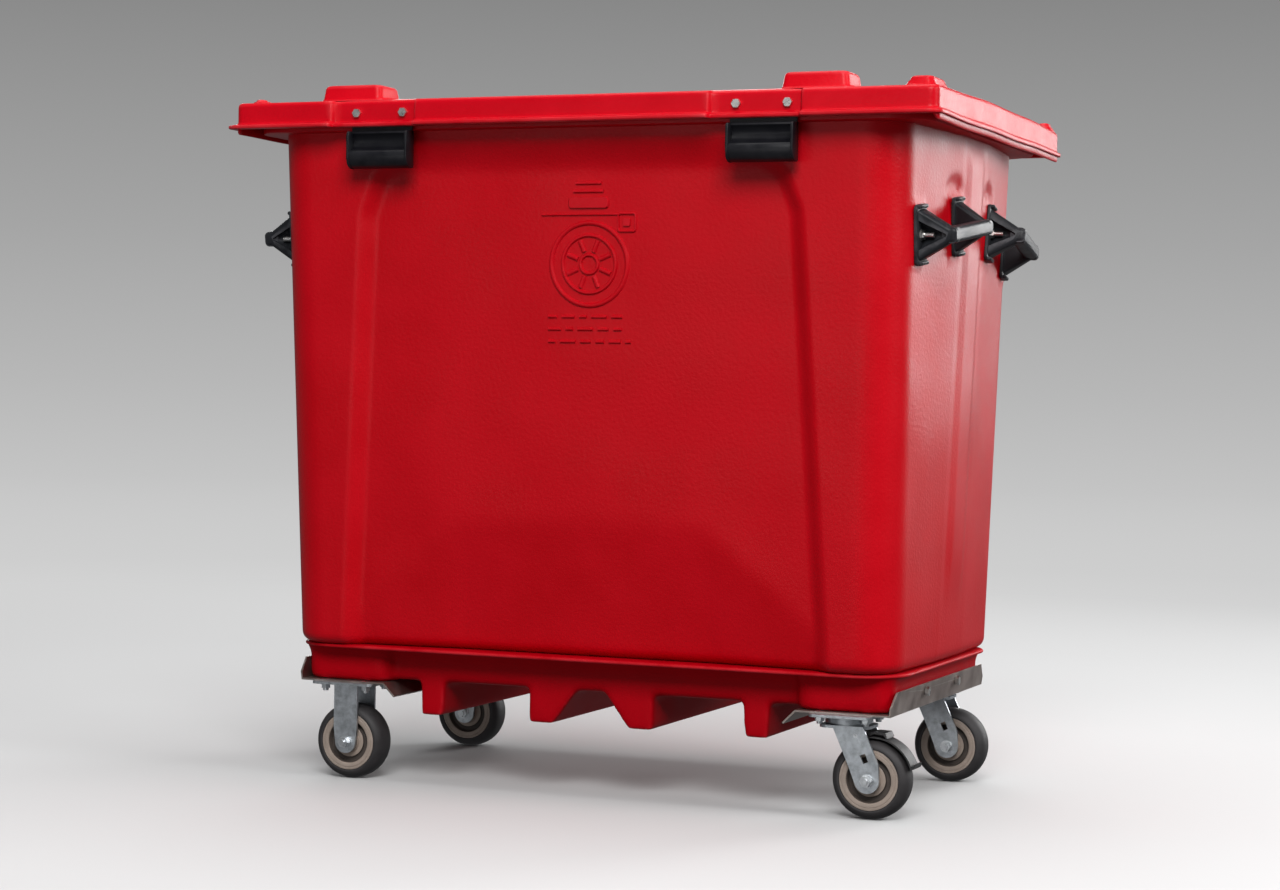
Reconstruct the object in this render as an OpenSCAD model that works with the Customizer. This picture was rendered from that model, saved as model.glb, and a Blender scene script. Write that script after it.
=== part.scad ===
// Four-wheeled medical waste cart: moulded tub on a moulded base, hinged lid,
// stainless caster channels, two fixed casters and two swivel casters, the front one with a brake.
// X runs along the length (swivel casters at +X), Y from front to back, Z up.
// The origin is on the floor, under the middle of the whole cart.

/* [Tub] */
// Length of the tub at its top, across the corners
tub_top_l = 1097; // [1080:1:1100]
// Width of the tub at its top
tub_top_w = 701; // [690:1:704]
// Length of the tub at its floor, across the corners
tub_bottom_l = 1063; // [1050:1:1070]
// Width of the tub at its floor
tub_bottom_w = 605; // [596:1:612]
// Height of the rim above the floor it stands on
tub_top_z = 1126; // [1120:1:1130]
// Height of the seam between base and tub
seam_z = 232; // [230:1:236]
// Corner radius of the tub
tub_corner_r = 70; // [60:1:80]
// How far the end walls bulge at the top
crown_top = 21; // [16:1:24]
// How far the end walls bulge at the floor
crown_bottom = 6; // [2:1:10]
// Wall of every moulded shell
wall = 6; // [5:0.5:7]
// Length of the rim band
rim_l = 1174; // [1168:1:1176]
// Width of the rim band
rim_w = 724; // [720:1:725]
// Height of the rim band
rim_drop = 41; // [36:1:44]
// Depth of the recessed panel in each long side
recess_depth = 11; // [6:1:14]

/* [Lid] */
// Length of the lid's skirt
lid_l = 1208; // [1204:1:1210]
// Width of the lid's skirt
lid_w = 776; // [774:1:778]
// Corner radius of the skirt
lid_corner_r = 20; // [16:1:24]
// How far the lip flares out past the skirt at the left-hand end
lip_left = 18; // [10:1:18]
// How far it flares out at the right-hand end
lip_right = 6; // [4:1:10]
// How far the lip flares out past the skirt at the sides
lip_w = 10; // [6:1:10]
// Height of the lip's lower edge
lip_z = 1090; // [1088:1:1092]
// Height of the lid's edge, where its crown starts
lid_edge_z = 1133; // [1132:1:1136]
// Height of the crown in the middle of the lid
lid_crown = 13; // [8:1:16]
// How far the lid's ends bow up between their corners
end_bow = 6; // [2:1:7]
// How far the front pads are set back
pad_set = 10; // [8:1:11]
// Distance of the hinges and grips from the middle
pad_x = 330; // [320:1:340]
// Width of a pad
pad_w = 150; // [148:1:156]

/* [Lid hinges] */
// Distance from the back of the skirt to the hinge axis
hinge_out = 36; // [34:1:40]
// Height of the hinge axis
hinge_z = 1108; // [1106:1:1110]
// Radius of the hinge pins
hinge_pin_r = 4; // [3.5:0.5:5]
// Radius of the knuckles
knuckle_r = 11; // [9:1:12]

/* [Base and channels] */
// Length of the seam ledge
ledge_l = 1074; // [1070:1:1084]
// Width of the seam ledge
ledge_w = 586; // [580:1:600]
// Height of the ledge
ledge_h = 7; // [6:1:12]
// Length of the base below the ledge
base_l = 1036; // [1030:1:1036]
// Width of the base at its corner blocks
base_w = 528; // [520:1:536]
// Width of the base and of its lugs between the blocks
base_mid_w = 484; // [480:1:500]
// Distance from the middle to the inner side of a corner block
block_x = 359; // [352:1:362]
// Height of the lugs' lower faces
lug_z = 116; // [114:1:124]
// Height of the pockets between the lugs
pocket_z = 172; // [170:1:178]
// Thickness of the channel sheet
sheet_t = 3; // [2:0.5:4]
// Height of the channel's underside, which is the overall caster height
channel_z = 165.7; // [165:0.1:166]
// Length of a channel, across the cart
channel_w = 544; // [536:1:548]

/* [Casters] */
// Distance from the middle to a caster's mounting centre, along the cart
caster_x = 441; // [438:1:442]
// Distance from the middle to a caster's mounting centre, across the cart
caster_y = 229; // [226:1:230]
// Wheel radius
wheel_r = 63.5; // [62:0.5:64]
// Tread width
tread_w = 50.8; // [46:0.1:52]
// Radius where the tyre meets the core
core_r = 48.3; // [46:0.1:50]
// Trail of the swivel casters
trail = 40.5; // [38:0.5:42]
// Plate thickness of the forks
fork_t = 4.5; // [4:0.5:5]
// Bolt spacing along the cart
bolt_sx = 76.2; // [74:0.1:77]
// Bolt spacing across the cart
bolt_sy = 66.7; // [66:0.1:68]
// Angle that the released brake lever stands off the wheel
brake_lift = 4; // [3:0.5:5]

/* [End handles] */
// Distance from the middle to the near end of a handle, across the cart
handle_y = 75; // [72:1:80]
// Length of a handle along the end wall
handle_l = 205; // [200:1:210]
// Height of a handle's mounting flange
handle_h = 95; // [88:1:98]
// Distance from the wall to the middle of the grip bar
handle_out = 50; // [46:1:52]
// Radius of the grip bar
bar_r = 12; // [10:0.5:12.5]
// Height of a handle's middle
handle_z = 927; // [915:1:935]
// Slope of the grip bars, up towards the middle of the cart
handle_tilt = 8; // [0:1:10]

/* [Hidden] */
$fn = 48;
eps = 0.1;
running = 0.05;
bolt_gap = 0.2;
red = "firebrick";
black = [0.12, 0.12, 0.13];
zinc = "lightsteelblue";
steel = "silver";

// Seam, rim and lid
tub_h = tub_top_z - seam_z;
floor_z = seam_z + wall;
lid_under_z = tub_top_z + 1;
lip_h = 7;
pad_lip = 8;
big_boss = [405, -285, 1166];
// Corner bosses: x, y, top, length at the base and at the top, and width
corner_bosses = [[573, -310, 1151, 46, 34, 82], [590, 364, 1147, 30, 20, 36],
    [-575, -337, 1143, 28, 18, 30], [-575, 337, 1143, 28, 18, 30]];
// How far the pads and the large bosses lie to the left of the grips
pad_shift = 10;
// How far the lid's skirt lies to the right of the tub's middle
lid_shift = 7;
hinge_y = lid_w / 2 + hinge_out;
// The hinges stand out behind the lid, so the middle of the whole cart lies behind the tub's.
middle_y = (hinge_y + knuckle_r - lid_w / 2 - lip_w) / 2;
ridge_half = 75;
recess_low_x = 416;
recess_high_x = 372;
recess_top_x = 330;
recess_shoulder = 745;
recess_top = 790;
strap_w = 104;
hinge_gap_w = 120;
strap_t = 4;
ear_w = 16;
arm_w = 36;
arm_t = 10;
arm_flange_t = 4;
side_gap = 0.5;
notch_w = arm_w + 4;
notch_top = hinge_z + 3;
arm_bolt_x = 28;
strap_bolt_x = 43;
grip_bolt_x = 42;
grip_bolt_z = 1112;
lid_bolt_r = 4;

// Lid grips
grip_w = 110;
grip_front = lid_w / 2;
grip_back = rim_w / 2 + 2.5;
grip_low = 1022;
grip_high = 1082;
grip_plate_t = 4;
grip_cheek = 4;
gutter_r = 19;
gutter_z = 1067;

// Base
block_z = channel_z + sheet_t;
base_top_z = seam_z - ledge_h;
outer_lug = [265, 312];
inner_lug_side = 111;
inner_lug_toe = 67;
inner_lug_root = 18;
base_corner_r = 26;
ledge_corner_r = 84;
channel_in = 365.5;
channel_out = 521;
flange_top_z = 203;
flange_lean = 5;
lip_run = 20;
flange_chamfer = 23;
flange_bolt_y = 90;
flange_bolt_z = 190;

// Handle studs, from a handle's end and from the wall
stud_in = 20;
stud_seat = 4;

// Casters
plate_long = 114;
plate_short = 101.6;
cheek_in = 29;
cheek_out = cheek_in + fork_t;
axle_r = 4.76;
bushing_r = 6.35;
plate_under_z = channel_z - fork_t;
yoke_z = 147.5;
yoke_under_z = yoke_z - fork_t;
race_r = 38;
ball_r = 3;
ball_ring_r = 25;
ball_z = 154.3;
kingpin_r = 6;
kingpin_end_z = 133;
bolt_end_z = 149;
pin_x = 21;
pin_z = 133;
brake_pin_r = 3.5;
band_r = wheel_r + 0.8;
band_t = 2.5;
band_half_w = 19;

// Plan of the tub at a height: corner half-length, half-width and bulge of the ends
function at_z(low, high, z) = low + (high - low) * (z - seam_z) / tub_h;
function half_l(z) = at_z(tub_bottom_l, tub_top_l, z) / 2;
function half_w(z) = at_z(tub_bottom_w, tub_top_w, z) / 2;
function crown(z) = at_z(crown_bottom, crown_top, z);

side_taper = atan((half_w(tub_top_z) - half_w(seam_z)) / tub_h);
// The sloping part of an end wall runs from the ridge, tangent to the corner's curve.
function slope_at(z) = let(across = tub_corner_r + crown(z),
    along = half_w(z) - tub_corner_r - ridge_half)
    atan(across / along) - asin(tub_corner_r / norm([across, along]));
function end_x(z, y) = half_l(z) + crown(z) - (y - ridge_half) * tan(slope_at(z));
handle_mid_y = handle_y + handle_l / 2;
end_slope = slope_at(handle_z);
end_taper = atan((end_x(tub_top_z, handle_mid_y) - end_x(seam_z, handle_mid_y)) / tub_h);

module placed() {
    translate([0, -middle_y, 0]) children();
}

module both_ends() {
    children();
    mirror([1, 0, 0]) children();
}

module both_sides() {
    children();
    mirror([0, 1, 0]) children();
}

module rounded(l, w, r) {
    square([l - 2 * r, w], center = true);
    square([l, w - 2 * r], center = true);
    for (x = [-1, 1], y = [-1, 1])
        translate([x * (l / 2 - r), y * (w / 2 - r)]) circle(r);
}

module slab(l, w, r, z_low, z_high) {
    translate([0, 0, z_low]) linear_extrude(z_high - z_low) rounded(l, w, r);
}

// Extrudes an outline of [x, z] points along Y, centred on y = 0
module along_y(w) {
    translate([0, w / 2, 0]) rotate([90, 0, 0]) linear_extrude(w) children();
}

// Extrudes an outline of [y, z] points along X, centred on x = 0
module along_x(l) {
    translate([-l / 2, 0, 0]) rotate([90, 0, 90]) linear_extrude(l) children();
}

module hex(across, h) {
    cylinder(r = across / sqrt(3), h = h, $fn = 6);
}

// Hex bolt: the head's underside is at z = 0 and the shank points down
module bolt(r, across, head_h, length) {
    hex(across, head_h);
    translate([0, 0, -length]) cylinder(r = r, h = length + eps);
}

// Bolt whose head faces +Y and whose shank points to -Y
module bolt_y(r, across, head_h, length) {
    rotate([-90, 0, 0]) bolt(r, across, head_h, length);
}

module drill_y(r, y_low, y_high) {
    translate([0, y_low, 0]) rotate([-90, 0, 0]) cylinder(r = r, h = y_high - y_low);
}

// ---------- Tub ----------

module tub_level(z, inset) {
    r = tub_corner_r - inset;
    for (x = [-1, 1], y = [-1, 1])
        translate([x * (half_l(z) - tub_corner_r), y * (half_w(z) - tub_corner_r), z])
            cylinder(r = r, h = eps, $fn = 32);
    ridge_l = 2 * (half_l(z) + crown(z) - inset);
    translate([-ridge_l / 2, -ridge_half, z]) cube([ridge_l, 2 * ridge_half, eps]);
}

module tub_block(inset, z_low, z_high) {
    hull() {
        tub_level(z_low, inset);
        tub_level(z_high - eps, inset);
    }
}

// Wedge that cuts the recessed panel out of a long side, following the side's taper;
// its outline is half the panel, grown sideways and upwards
module recess_wedge(depth, grow) {
    thick = 60;
    below = -20;
    both_sides() both_ends() translate([0, -half_w(seam_z), seam_z]) rotate([side_taper, 0, 0])
        translate([0, depth - thick / 2, 0]) along_y(thick)
            polygon([[-eps, below], [recess_low_x + grow, below],
                [recess_high_x + grow, recess_shoulder], [recess_top_x + grow, recess_top + grow],
                [-eps, recess_top + grow]]);
}

module tub() color(red) placed() difference() {
    union() {
        difference() {
            tub_block(0, seam_z, tub_top_z);
            recess_wedge(recess_depth, 0);
        }
        difference() {
            slab(rim_l, rim_w, tub_corner_r, tub_top_z - rim_drop, tub_top_z);
            slab(rim_l - 2 * wall, rim_w - 2 * wall, tub_corner_r - wall,
                tub_top_z - rim_drop - 1, tub_top_z - wall);
        }
    }
    difference() {
        tub_block(wall, floor_z, tub_top_z + 1);
        recess_wedge(recess_depth + wall, wall);
    }
    for (side = [-1, 1], x = [-1, 1])
        translate([side * pad_x + x * arm_bolt_x, 0, hinge_z - 2])
            drill_y(lid_bolt_r + bolt_gap, rim_w / 2 - wall - 1, rim_w / 2 + 1);
}

// ---------- Base ----------

// Cross-section of the lugs, from the outer lug to the middle of the cart
module lug_outline(inset) {
    draft = 4;
    top = pocket_z + 10;
    polygon([[outer_lug[0] + inset, top], [outer_lug[0] + draft + inset, lug_z + inset],
        [outer_lug[1] - draft - inset, lug_z + inset], [outer_lug[1] - inset, top]]);
    polygon([[inner_lug_root + 1.2 * inset, top], [inner_lug_toe + 0.6 * inset, lug_z + inset],
        [inner_lug_side - inset, lug_z + inset], [inner_lug_side - inset, top]]);
}

module base_body(inset) {
    r = base_corner_r - inset;
    both_ends() {
        translate([(block_x + base_l / 2) / 2, 0, 0])
            slab(base_l / 2 - block_x - 2 * inset, base_w - 2 * inset, r,
                block_z + inset, seam_z + (inset > 0 ? 1 : 0));
        along_y(base_mid_w - 2 * inset) lug_outline(inset);
    }
    slab(base_l - 2 * inset, base_mid_w - 2 * inset, r,
        pocket_z + inset, seam_z + (inset > 0 ? 1 : 0));
}

module base() color(red) placed() difference() {
    union() {
        base_body(0);
        slab(ledge_l, ledge_w, ledge_corner_r, base_top_z, seam_z);
    }
    base_body(wall);
    both_ends() for (y = [-1, 1])
        translate([base_l / 2 - wall - 1, y * flange_bolt_y, flange_bolt_z])
            rotate([0, 90, 0]) cylinder(r = lid_bolt_r + bolt_gap, h = wall + 2);
}

// ---------- Caster channels ----------

module channel_profile() {
    lean_z = flange_top_z - channel_z;
    t45 = sheet_t * 0.71;
    polygon([[channel_in - lip_run, channel_z - lip_run], [channel_in, channel_z],
        [channel_out, channel_z], [channel_out + flange_lean, channel_z + lean_z],
        [channel_out + flange_lean - sheet_t, channel_z + lean_z],
        [channel_out - sheet_t + 0.4, channel_z + sheet_t],
        [channel_in - sheet_t * 0.41, channel_z + sheet_t],
        [channel_in - lip_run - t45, channel_z - lip_run + t45]]);
}

module caster_channel() {
    difference() {
        intersection() {
            along_y(channel_w) channel_profile();
            translate([channel_in + 60, 0, 0]) along_x(400) polygon([
                [-channel_w / 2, 100], [channel_w / 2, 100],
                [channel_w / 2, flange_top_z - flange_chamfer],
                [channel_w / 2 - flange_chamfer, flange_top_z + 1],
                [flange_chamfer - channel_w / 2, flange_top_z + 1],
                [-channel_w / 2, flange_top_z - flange_chamfer]]);
        }
        both_sides() {
            at_caster_bolts() {
                translate([0, 0, channel_z - 1]) cylinder(r = axle_r + bolt_gap, h = sheet_t + 2);
                translate([0, 0, channel_z]) countersink(bolt_gap);
            }
            translate([channel_out - 10, flange_bolt_y, flange_bolt_z])
                rotate([0, 90, 0]) cylinder(r = lid_bolt_r + bolt_gap, h = 20);
        }
    }
}

module caster_channel_right() color(steel) placed() caster_channel();

module caster_channel_left() color(steel) placed() mirror([1, 0, 0]) caster_channel();

module channel_bolts() color(steel) placed() {
    flange_x = channel_out + flange_lean * (flange_bolt_z - channel_z) / (flange_top_z - channel_z);
    both_ends() for (y = [-1, 1])
        translate([flange_x + 1.2, y * flange_bolt_y, flange_bolt_z])
            rotate([0, 90, 0]) bolt(lid_bolt_r, 13, 6, 22);
}

// ---------- Lid ----------

module lid_crown_block(inset) {
    flat_l = lid_l - 320;
    flat_w = lid_w - 300;
    bow_w = lid_w / 2;
    translate([lid_shift, 0, 0]) hull() {
        slab(lid_l - 2 * inset, lid_w - 2 * inset, lid_corner_r - inset,
            lid_edge_z - inset - eps, lid_edge_z - inset);
        slab(lid_l - 2 * inset, bow_w, lid_corner_r, lid_edge_z + end_bow - inset - eps,
            lid_edge_z + end_bow - inset);
        slab(flat_l, flat_w, 100, lid_edge_z + lid_crown - inset - eps,
            lid_edge_z + lid_crown - inset);
    }
}

// Tapered boss that keeps the opened lid off whatever it leans on
module boss(l_base, l_top, w, z_top, inset) {
    along_y(w - 2 * inset) polygon([
        [-l_base / 2 + inset, lid_edge_z - wall - eps], [l_base / 2 - inset, lid_edge_z - wall - eps],
        [l_top / 2 - inset, z_top - inset], [-l_top / 2 + inset, z_top - inset]]);
}

module bosses(inset) {
    for (side = [-1, 1]) translate([side * big_boss.x - pad_shift, big_boss.y, 0])
        boss(110, 98, 74, big_boss.z, inset);
    for (b = corner_bosses) translate([b[0], b[1], 0]) boss(b[3], b[4], b[5], b[2], inset);
}

// Front pad, set back over the lid's full height, with a smaller lip; front is towards -Y
module pad_cut() {
    front = -lid_w / 2 - lip_w - 1;
    pad_y = pad_set - lid_w / 2;
    translate([-pad_w / 2, front, lip_z + lip_h]) cube([pad_w, pad_y - front, 100]);
    translate([-pad_w / 2, front, lip_z - 1]) cube([pad_w, pad_y - pad_lip - front, lip_h + 2]);
}

module at_pads() {
    for (side = [-1, 1]) translate([side * pad_x - pad_shift, 0, 0]) children();
}

module lid_shell() {
    difference() {
        union() {
            translate([lid_shift, 0, 0]) slab(lid_l, lid_w, lid_corner_r, lip_z, lid_edge_z);
            translate([lid_shift + (lip_right - lip_left) / 2, 0, 0])
                slab(lid_l + lip_left + lip_right, lid_w + 2 * lip_w, lid_corner_r + lip_w,
                    lip_z, lip_z + lip_h);
            lid_crown_block(0);
            bosses(0);
        }
        difference() {
            union() {
                translate([lid_shift, 0, 0]) slab(lid_l - 2 * wall, lid_w - 2 * wall,
                    lid_corner_r - wall, lip_z - 1, lid_under_z);
                lid_crown_block(wall);
                bosses(wall);
            }
            at_pads() translate([-pad_w / 2 - wall, -lid_w / 2, lip_z - 1])
                cube([pad_w + 2 * wall, pad_set + wall, 100]);
        }
        at_pads() pad_cut();
    }
}

module lid() color(red) placed() difference() {
    lid_shell();
    both_ends() {
        translate([pad_x, 0, 0]) {
            // No lip behind a hinge, and a notch for its arm
            translate([-hinge_gap_w / 2, lid_w / 2, lip_z - 1]) cube([hinge_gap_w, lip_w + 1, 30]);
            translate([-notch_w / 2, lid_w / 2 - wall - 1, lip_z - 1])
                cube([notch_w, wall + 2, notch_top - lip_z + 1]);
            for (x = [-1, 1]) {
                translate([x * strap_bolt_x, 0, hinge_z + 2])
                    drill_y(lid_bolt_r + bolt_gap, lid_w / 2 - wall - 1, lid_w / 2 + 1);
                translate([x * grip_bolt_x, 0, grip_bolt_z])
                    drill_y(lid_bolt_r + bolt_gap, pad_set - lid_w / 2 - 1,
                        pad_set - lid_w / 2 + wall + 1);
            }
        }
    }
}

// ---------- Lid grips ----------

// Cross-section of the scooped grip; front is towards -Y
module grip_section() {
    nose_r = 13;
    difference() {
        union() {
            translate([-grip_front, grip_low + nose_r])
                square([grip_front - grip_back, grip_high - grip_low - nose_r]);
            translate([-grip_front + nose_r, grip_low])
                square([grip_front - grip_back - nose_r, nose_r + eps]);
            translate([-grip_front + nose_r, grip_low + nose_r]) circle(nose_r);
        }
        translate([-grip_front - 3, gutter_z]) circle(gutter_r);
    }
}

module cheek_section() {
    translate([-grip_front, grip_low + 18]) square([grip_front - grip_back, grip_high - grip_low - 18]);
    translate([-(grip_front + grip_back) / 2, grip_low + 18])
        circle((grip_front - grip_back) / 2);
}

module lid_grip() {
    plate_y = pad_set + wall - lid_w / 2;
    difference() {
        union() {
            along_x(grip_w) grip_section();
            for (x = [-1, 1]) translate([x * (grip_w - grip_cheek) / 2, 0, 0])
                along_x(grip_cheek) cheek_section();
            translate([-grip_w / 2, plate_y, grip_high - 12])
                cube([grip_w, grip_plate_t, 1124 - grip_high + 12]);
        }
        for (x = [-1, 1]) translate([x * grip_bolt_x, 0, grip_bolt_z])
            drill_y(lid_bolt_r + bolt_gap, plate_y - 1, plate_y + grip_plate_t + 1);
    }
}

module lid_grip_left() color(black) placed() translate([-pad_x, 0, 0]) lid_grip();

module lid_grip_right() color(black) placed() translate([pad_x, 0, 0]) lid_grip();

module grip_bolts() color(steel) placed()
    for (side = [-1, 1], x = [-1, 1])
        translate([side * pad_x + x * grip_bolt_x, pad_set - lid_w / 2, grip_bolt_z])
            mirror([0, 1, 0]) bolt_y(lid_bolt_r, 13, 5.5, wall + grip_plate_t);

// ---------- Lid hinges ----------

module knuckle(l) {
    translate([-l / 2, hinge_y, hinge_z]) rotate([0, 90, 0]) cylinder(r = knuckle_r, h = l);
}

module hinge_bore(l) {
    translate([-l / 2, hinge_y, hinge_z]) rotate([0, 90, 0])
        cylinder(r = hinge_pin_r + running, h = l);
}

module hinge_strap() {
    plate_top = lid_edge_z - 5;
    skirt_y = lid_w / 2;
    difference() {
        union() {
            translate([-strap_w / 2, skirt_y, lip_z + 2])
                cube([strap_w, strap_t, plate_top - lip_z - 2]);
            for (x = [-1, 1]) translate([x * (arm_w / 2 + side_gap + ear_w / 2), 0, 0]) {
                knuckle(ear_w);
                translate([-ear_w / 2, skirt_y + eps, hinge_z - knuckle_r])
                    cube([ear_w, hinge_out, 2 * knuckle_r]);
            }
        }
        translate([-notch_w / 2, skirt_y - 1, lip_z]) cube([notch_w, strap_t + 2, notch_top - lip_z]);
        hinge_bore(strap_w);
        for (x = [-1, 1]) translate([x * strap_bolt_x, 0, hinge_z + 2])
            drill_y(lid_bolt_r + bolt_gap, skirt_y - 1, skirt_y + strap_t + 1);
    }
}

module hinge_strap_left() color(black) placed() translate([-pad_x, 0, 0]) hinge_strap();

module hinge_strap_right() color(black) placed() translate([pad_x, 0, 0]) hinge_strap();

module strap_bolts() color(steel) placed()
    for (side = [-1, 1], x = [-1, 1])
        translate([side * pad_x + x * strap_bolt_x, lid_w / 2 + strap_t, hinge_z + 2])
            bolt_y(lid_bolt_r, 13, 5, strap_t + wall + 3);

module hinge_pins() color(steel) placed()
    for (side = [-1, 1]) translate([side * pad_x, hinge_y, hinge_z]) rotate([0, 90, 0]) {
        pin_l = arm_w + 2 * side_gap + 2 * ear_w;
        cylinder(r = hinge_pin_r, h = pin_l + 2, center = true);
        for (end = [-1, 1]) translate([0, 0, end * (pin_l / 2 + 1.3)])
            cylinder(r = hinge_pin_r + 2, h = 2.4, center = true);
    }

module hinge_arm() {
    rim_y = rim_w / 2;
    flange_w = 80;
    difference() {
        union() {
            translate([-flange_w / 2, rim_y, tub_top_z - rim_drop + 3])
                cube([flange_w, arm_flange_t, rim_drop - 7]);
            translate([-arm_w / 2, rim_y + eps, hinge_z - knuckle_r])
                cube([arm_w, hinge_y - rim_y, arm_t]);
            knuckle(arm_w);
        }
        hinge_bore(arm_w + 2);
        for (x = [-1, 1]) translate([x * arm_bolt_x, 0, hinge_z - 2])
            drill_y(lid_bolt_r + bolt_gap, rim_y - 1, rim_y + arm_flange_t + 1);
    }
}

module hinge_arm_left() color(black) placed() translate([-pad_x, 0, 0]) hinge_arm();

module hinge_arm_right() color(black) placed() translate([pad_x, 0, 0]) hinge_arm();

module hinge_arm_bolts() color(steel) placed()
    for (side = [-1, 1], x = [-1, 1])
        translate([side * pad_x + x * arm_bolt_x, rim_w / 2 + arm_flange_t, hinge_z - 2])
            bolt_y(lid_bolt_r, 13, 4, arm_flange_t + wall + 2);

// ---------- End handles ----------

// Places a handle's own frame on the sloping part of the right-hand end wall, behind the middle:
// its X points out of the wall and its Y runs along the grip bar.
module on_end_wall() {
    wall_gap = 2;
    translate([end_x(handle_z, handle_mid_y) + wall_gap, handle_mid_y, handle_z])
        rotate([0, 0, end_slope]) rotate([0, end_taper, 0]) rotate([-handle_tilt, 0, 0]) children();
}

// One side bracket of a handle: s = 1 is the far end, s = -1 the near end
module bracket(s) {
    flange_d = 44;
    root_d = 34;
    taper = 20;
    recess_end = 34;
    tip_d = 22;
    flange_t = 5;
    hook_h = 5;
    outer = handle_l / 2;
    tip_y = outer - taper;
    mirror([0, s < 0 ? 1 : 0, 0]) difference() {
        union() {
            translate([0, outer - flange_d, -handle_h / 2 + 3]) cube([flange_t, flange_d, handle_h - 6]);
            for (z = [-1, 1]) translate([0, outer - flange_d + 4, z * (handle_h / 2 - 2.5) - 2.5])
                cube([9, flange_d - 8, hook_h]);
            hull() {
                translate([0.5, outer - root_d - 6, -handle_h / 2 + 6])
                    cube([flange_t, root_d, handle_h - 12]);
                translate([handle_out, tip_y - tip_d, 0]) rotate([-90, 0, 0])
                    cylinder(r = bar_r + 1, h = tip_d, $fn = 32);
            }
        }
        // Recess that leaves room for the nut and its stud
        translate([stud_seat, outer - stud_in, 0]) rotate([0, 90, 0])
            cylinder(r = 12, h = recess_end - stud_seat);
        translate([-1, outer - stud_in, 0]) rotate([0, 90, 0])
            cylinder(r = lid_bolt_r + bolt_gap, h = 40);
    }
}

module handle() {
    bar_half = handle_l / 2 - 30;
    color(black) {
        for (s = [-1, 1]) bracket(s);
        translate([handle_out, -bar_half, 0]) rotate([-90, 0, 0])
            cylinder(r = bar_r, h = 2 * bar_half);
    }
}

module handle_right_back() placed() on_end_wall() handle();

module handle_right_front() placed() mirror([0, 1, 0]) on_end_wall() handle();

module handle_left_back() placed() mirror([1, 0, 0]) on_end_wall() handle();

module handle_left_front() placed() mirror([1, 0, 0]) mirror([0, 1, 0]) on_end_wall() handle();

module handle_studs() color(steel) placed()
    both_ends() both_sides() on_end_wall() for (s = [-1, 1])
        translate([stud_seat, s * (handle_l / 2 - stud_in), 0]) rotate([0, 90, 0]) {
            cylinder(r = lid_bolt_r, h = 22);
            cylinder(r = 9, h = 1.5);
            hex(13, 7);
        }

// ---------- Caster parts shared by all four ----------

module at_caster_bolts() {
    for (x = [-1, 1], y = [-1, 1])
        translate([caster_x + x * bolt_sx / 2, caster_y + y * bolt_sy / 2, 0]) children();
}

// Flat bolt head, flush with the top of the channel sheet, or its countersink when gap is given
module countersink(gap) {
    head_r = 8;
    cylinder(r1 = axle_r + gap, r2 = head_r + 2 * gap, h = sheet_t + gap);
}

module caster_plate(l, w) slab(l, w, 8, plate_under_z, channel_z);

module plate_holes() {
    for (x = [-1, 1], y = [-1, 1])
        translate([x * bolt_sx / 2, y * bolt_sy / 2, plate_under_z - 1])
            cylinder(r = axle_r + bolt_gap, h = fork_t + 2);
}

module caster_bolts() color(zinc) placed() both_ends() both_sides() at_caster_bolts() {
    translate([0, 0, channel_z]) countersink(0);
    translate([0, 0, bolt_end_z]) cylinder(r = axle_r, h = channel_z - bolt_end_z + eps);
}

module caster_nuts() color(zinc) placed() both_ends() both_sides() at_caster_bolts()
    translate([0, 0, plate_under_z - 8]) difference() {
        union() {
            hex(14.3, 6.5);
            translate([0, 0, 6.4]) cylinder(r = 9.5, h = 1.6);
        }
        translate([0, 0, -1]) cylinder(r = axle_r + running, h = 10);
    }

// Wheel, axle and bushing lie along Y, around the axle's middle
module wheel_core() {
    face = tread_w / 2 - 1.5;
    hub_half = cheek_in - 0.5;
    color([0.65, 0.58, 0.52]) rotate([-90, 0, 0]) rotate_extrude()
        polygon([[bushing_r + running, -hub_half], [17, -hub_half], [19, -hub_half + 3],
            [20, -18], [26, -18], [27, -13], [35, -13], [37.5, -face], [core_r, -face],
            [core_r, face], [37.5, face], [35, 13], [27, 13], [26, 18], [20, 18],
            [19, hub_half - 3], [17, hub_half], [bushing_r + running, hub_half]]);
}

module tyre() {
    half = tread_w / 2;
    shoulder = 9;
    shoulder_c = [wheel_r - shoulder, half - shoulder];
    arc = [for (a = [0:15:90]) shoulder_c + shoulder * [cos(a), sin(a)]];
    right = concat(arc, [[core_r + 4, half], [core_r, half - 1.5]]);
    left = [for (i = [len(right) - 1:-1:0]) [right[i].x, -right[i].y]];
    color([0.24, 0.23, 0.24]) rotate([-90, 0, 0]) rotate_extrude() polygon(concat(right, left));
}

module wheel_bushing() {
    translate([0, cheek_in, 0]) rotate([90, 0, 0]) difference() {
        cylinder(r = bushing_r, h = 2 * cheek_in);
        translate([0, 0, -1]) cylinder(r = axle_r + bolt_gap, h = 2 * cheek_in + 2);
    }
}

module axle_bolt() {
    translate([0, cheek_out, 0]) rotate([-90, 0, 0])
        bolt(axle_r, 14.3, 6, 2 * cheek_out + 13);
}

module axle_nut() {
    translate([0, -cheek_out, 0]) rotate([90, 0, 0]) difference() {
        union() {
            cylinder(r = 10.5, h = 1.6);
            hex(15.9, 9.5);
        }
        translate([0, 0, -1]) cylinder(r = axle_r + running, h = 12);
    }
}

// Mounting centre of a caster: end = 1 for the swivel end, side = -1 for the front
module at_caster(end, side) {
    placed() translate([end * caster_x, side * caster_y, 0]) children();
}

module at_axle(end, side) {
    at_caster(end, side) translate([end > 0 ? trail : 0, 0, wheel_r]) children();
}

// ---------- Fixed casters ----------

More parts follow.
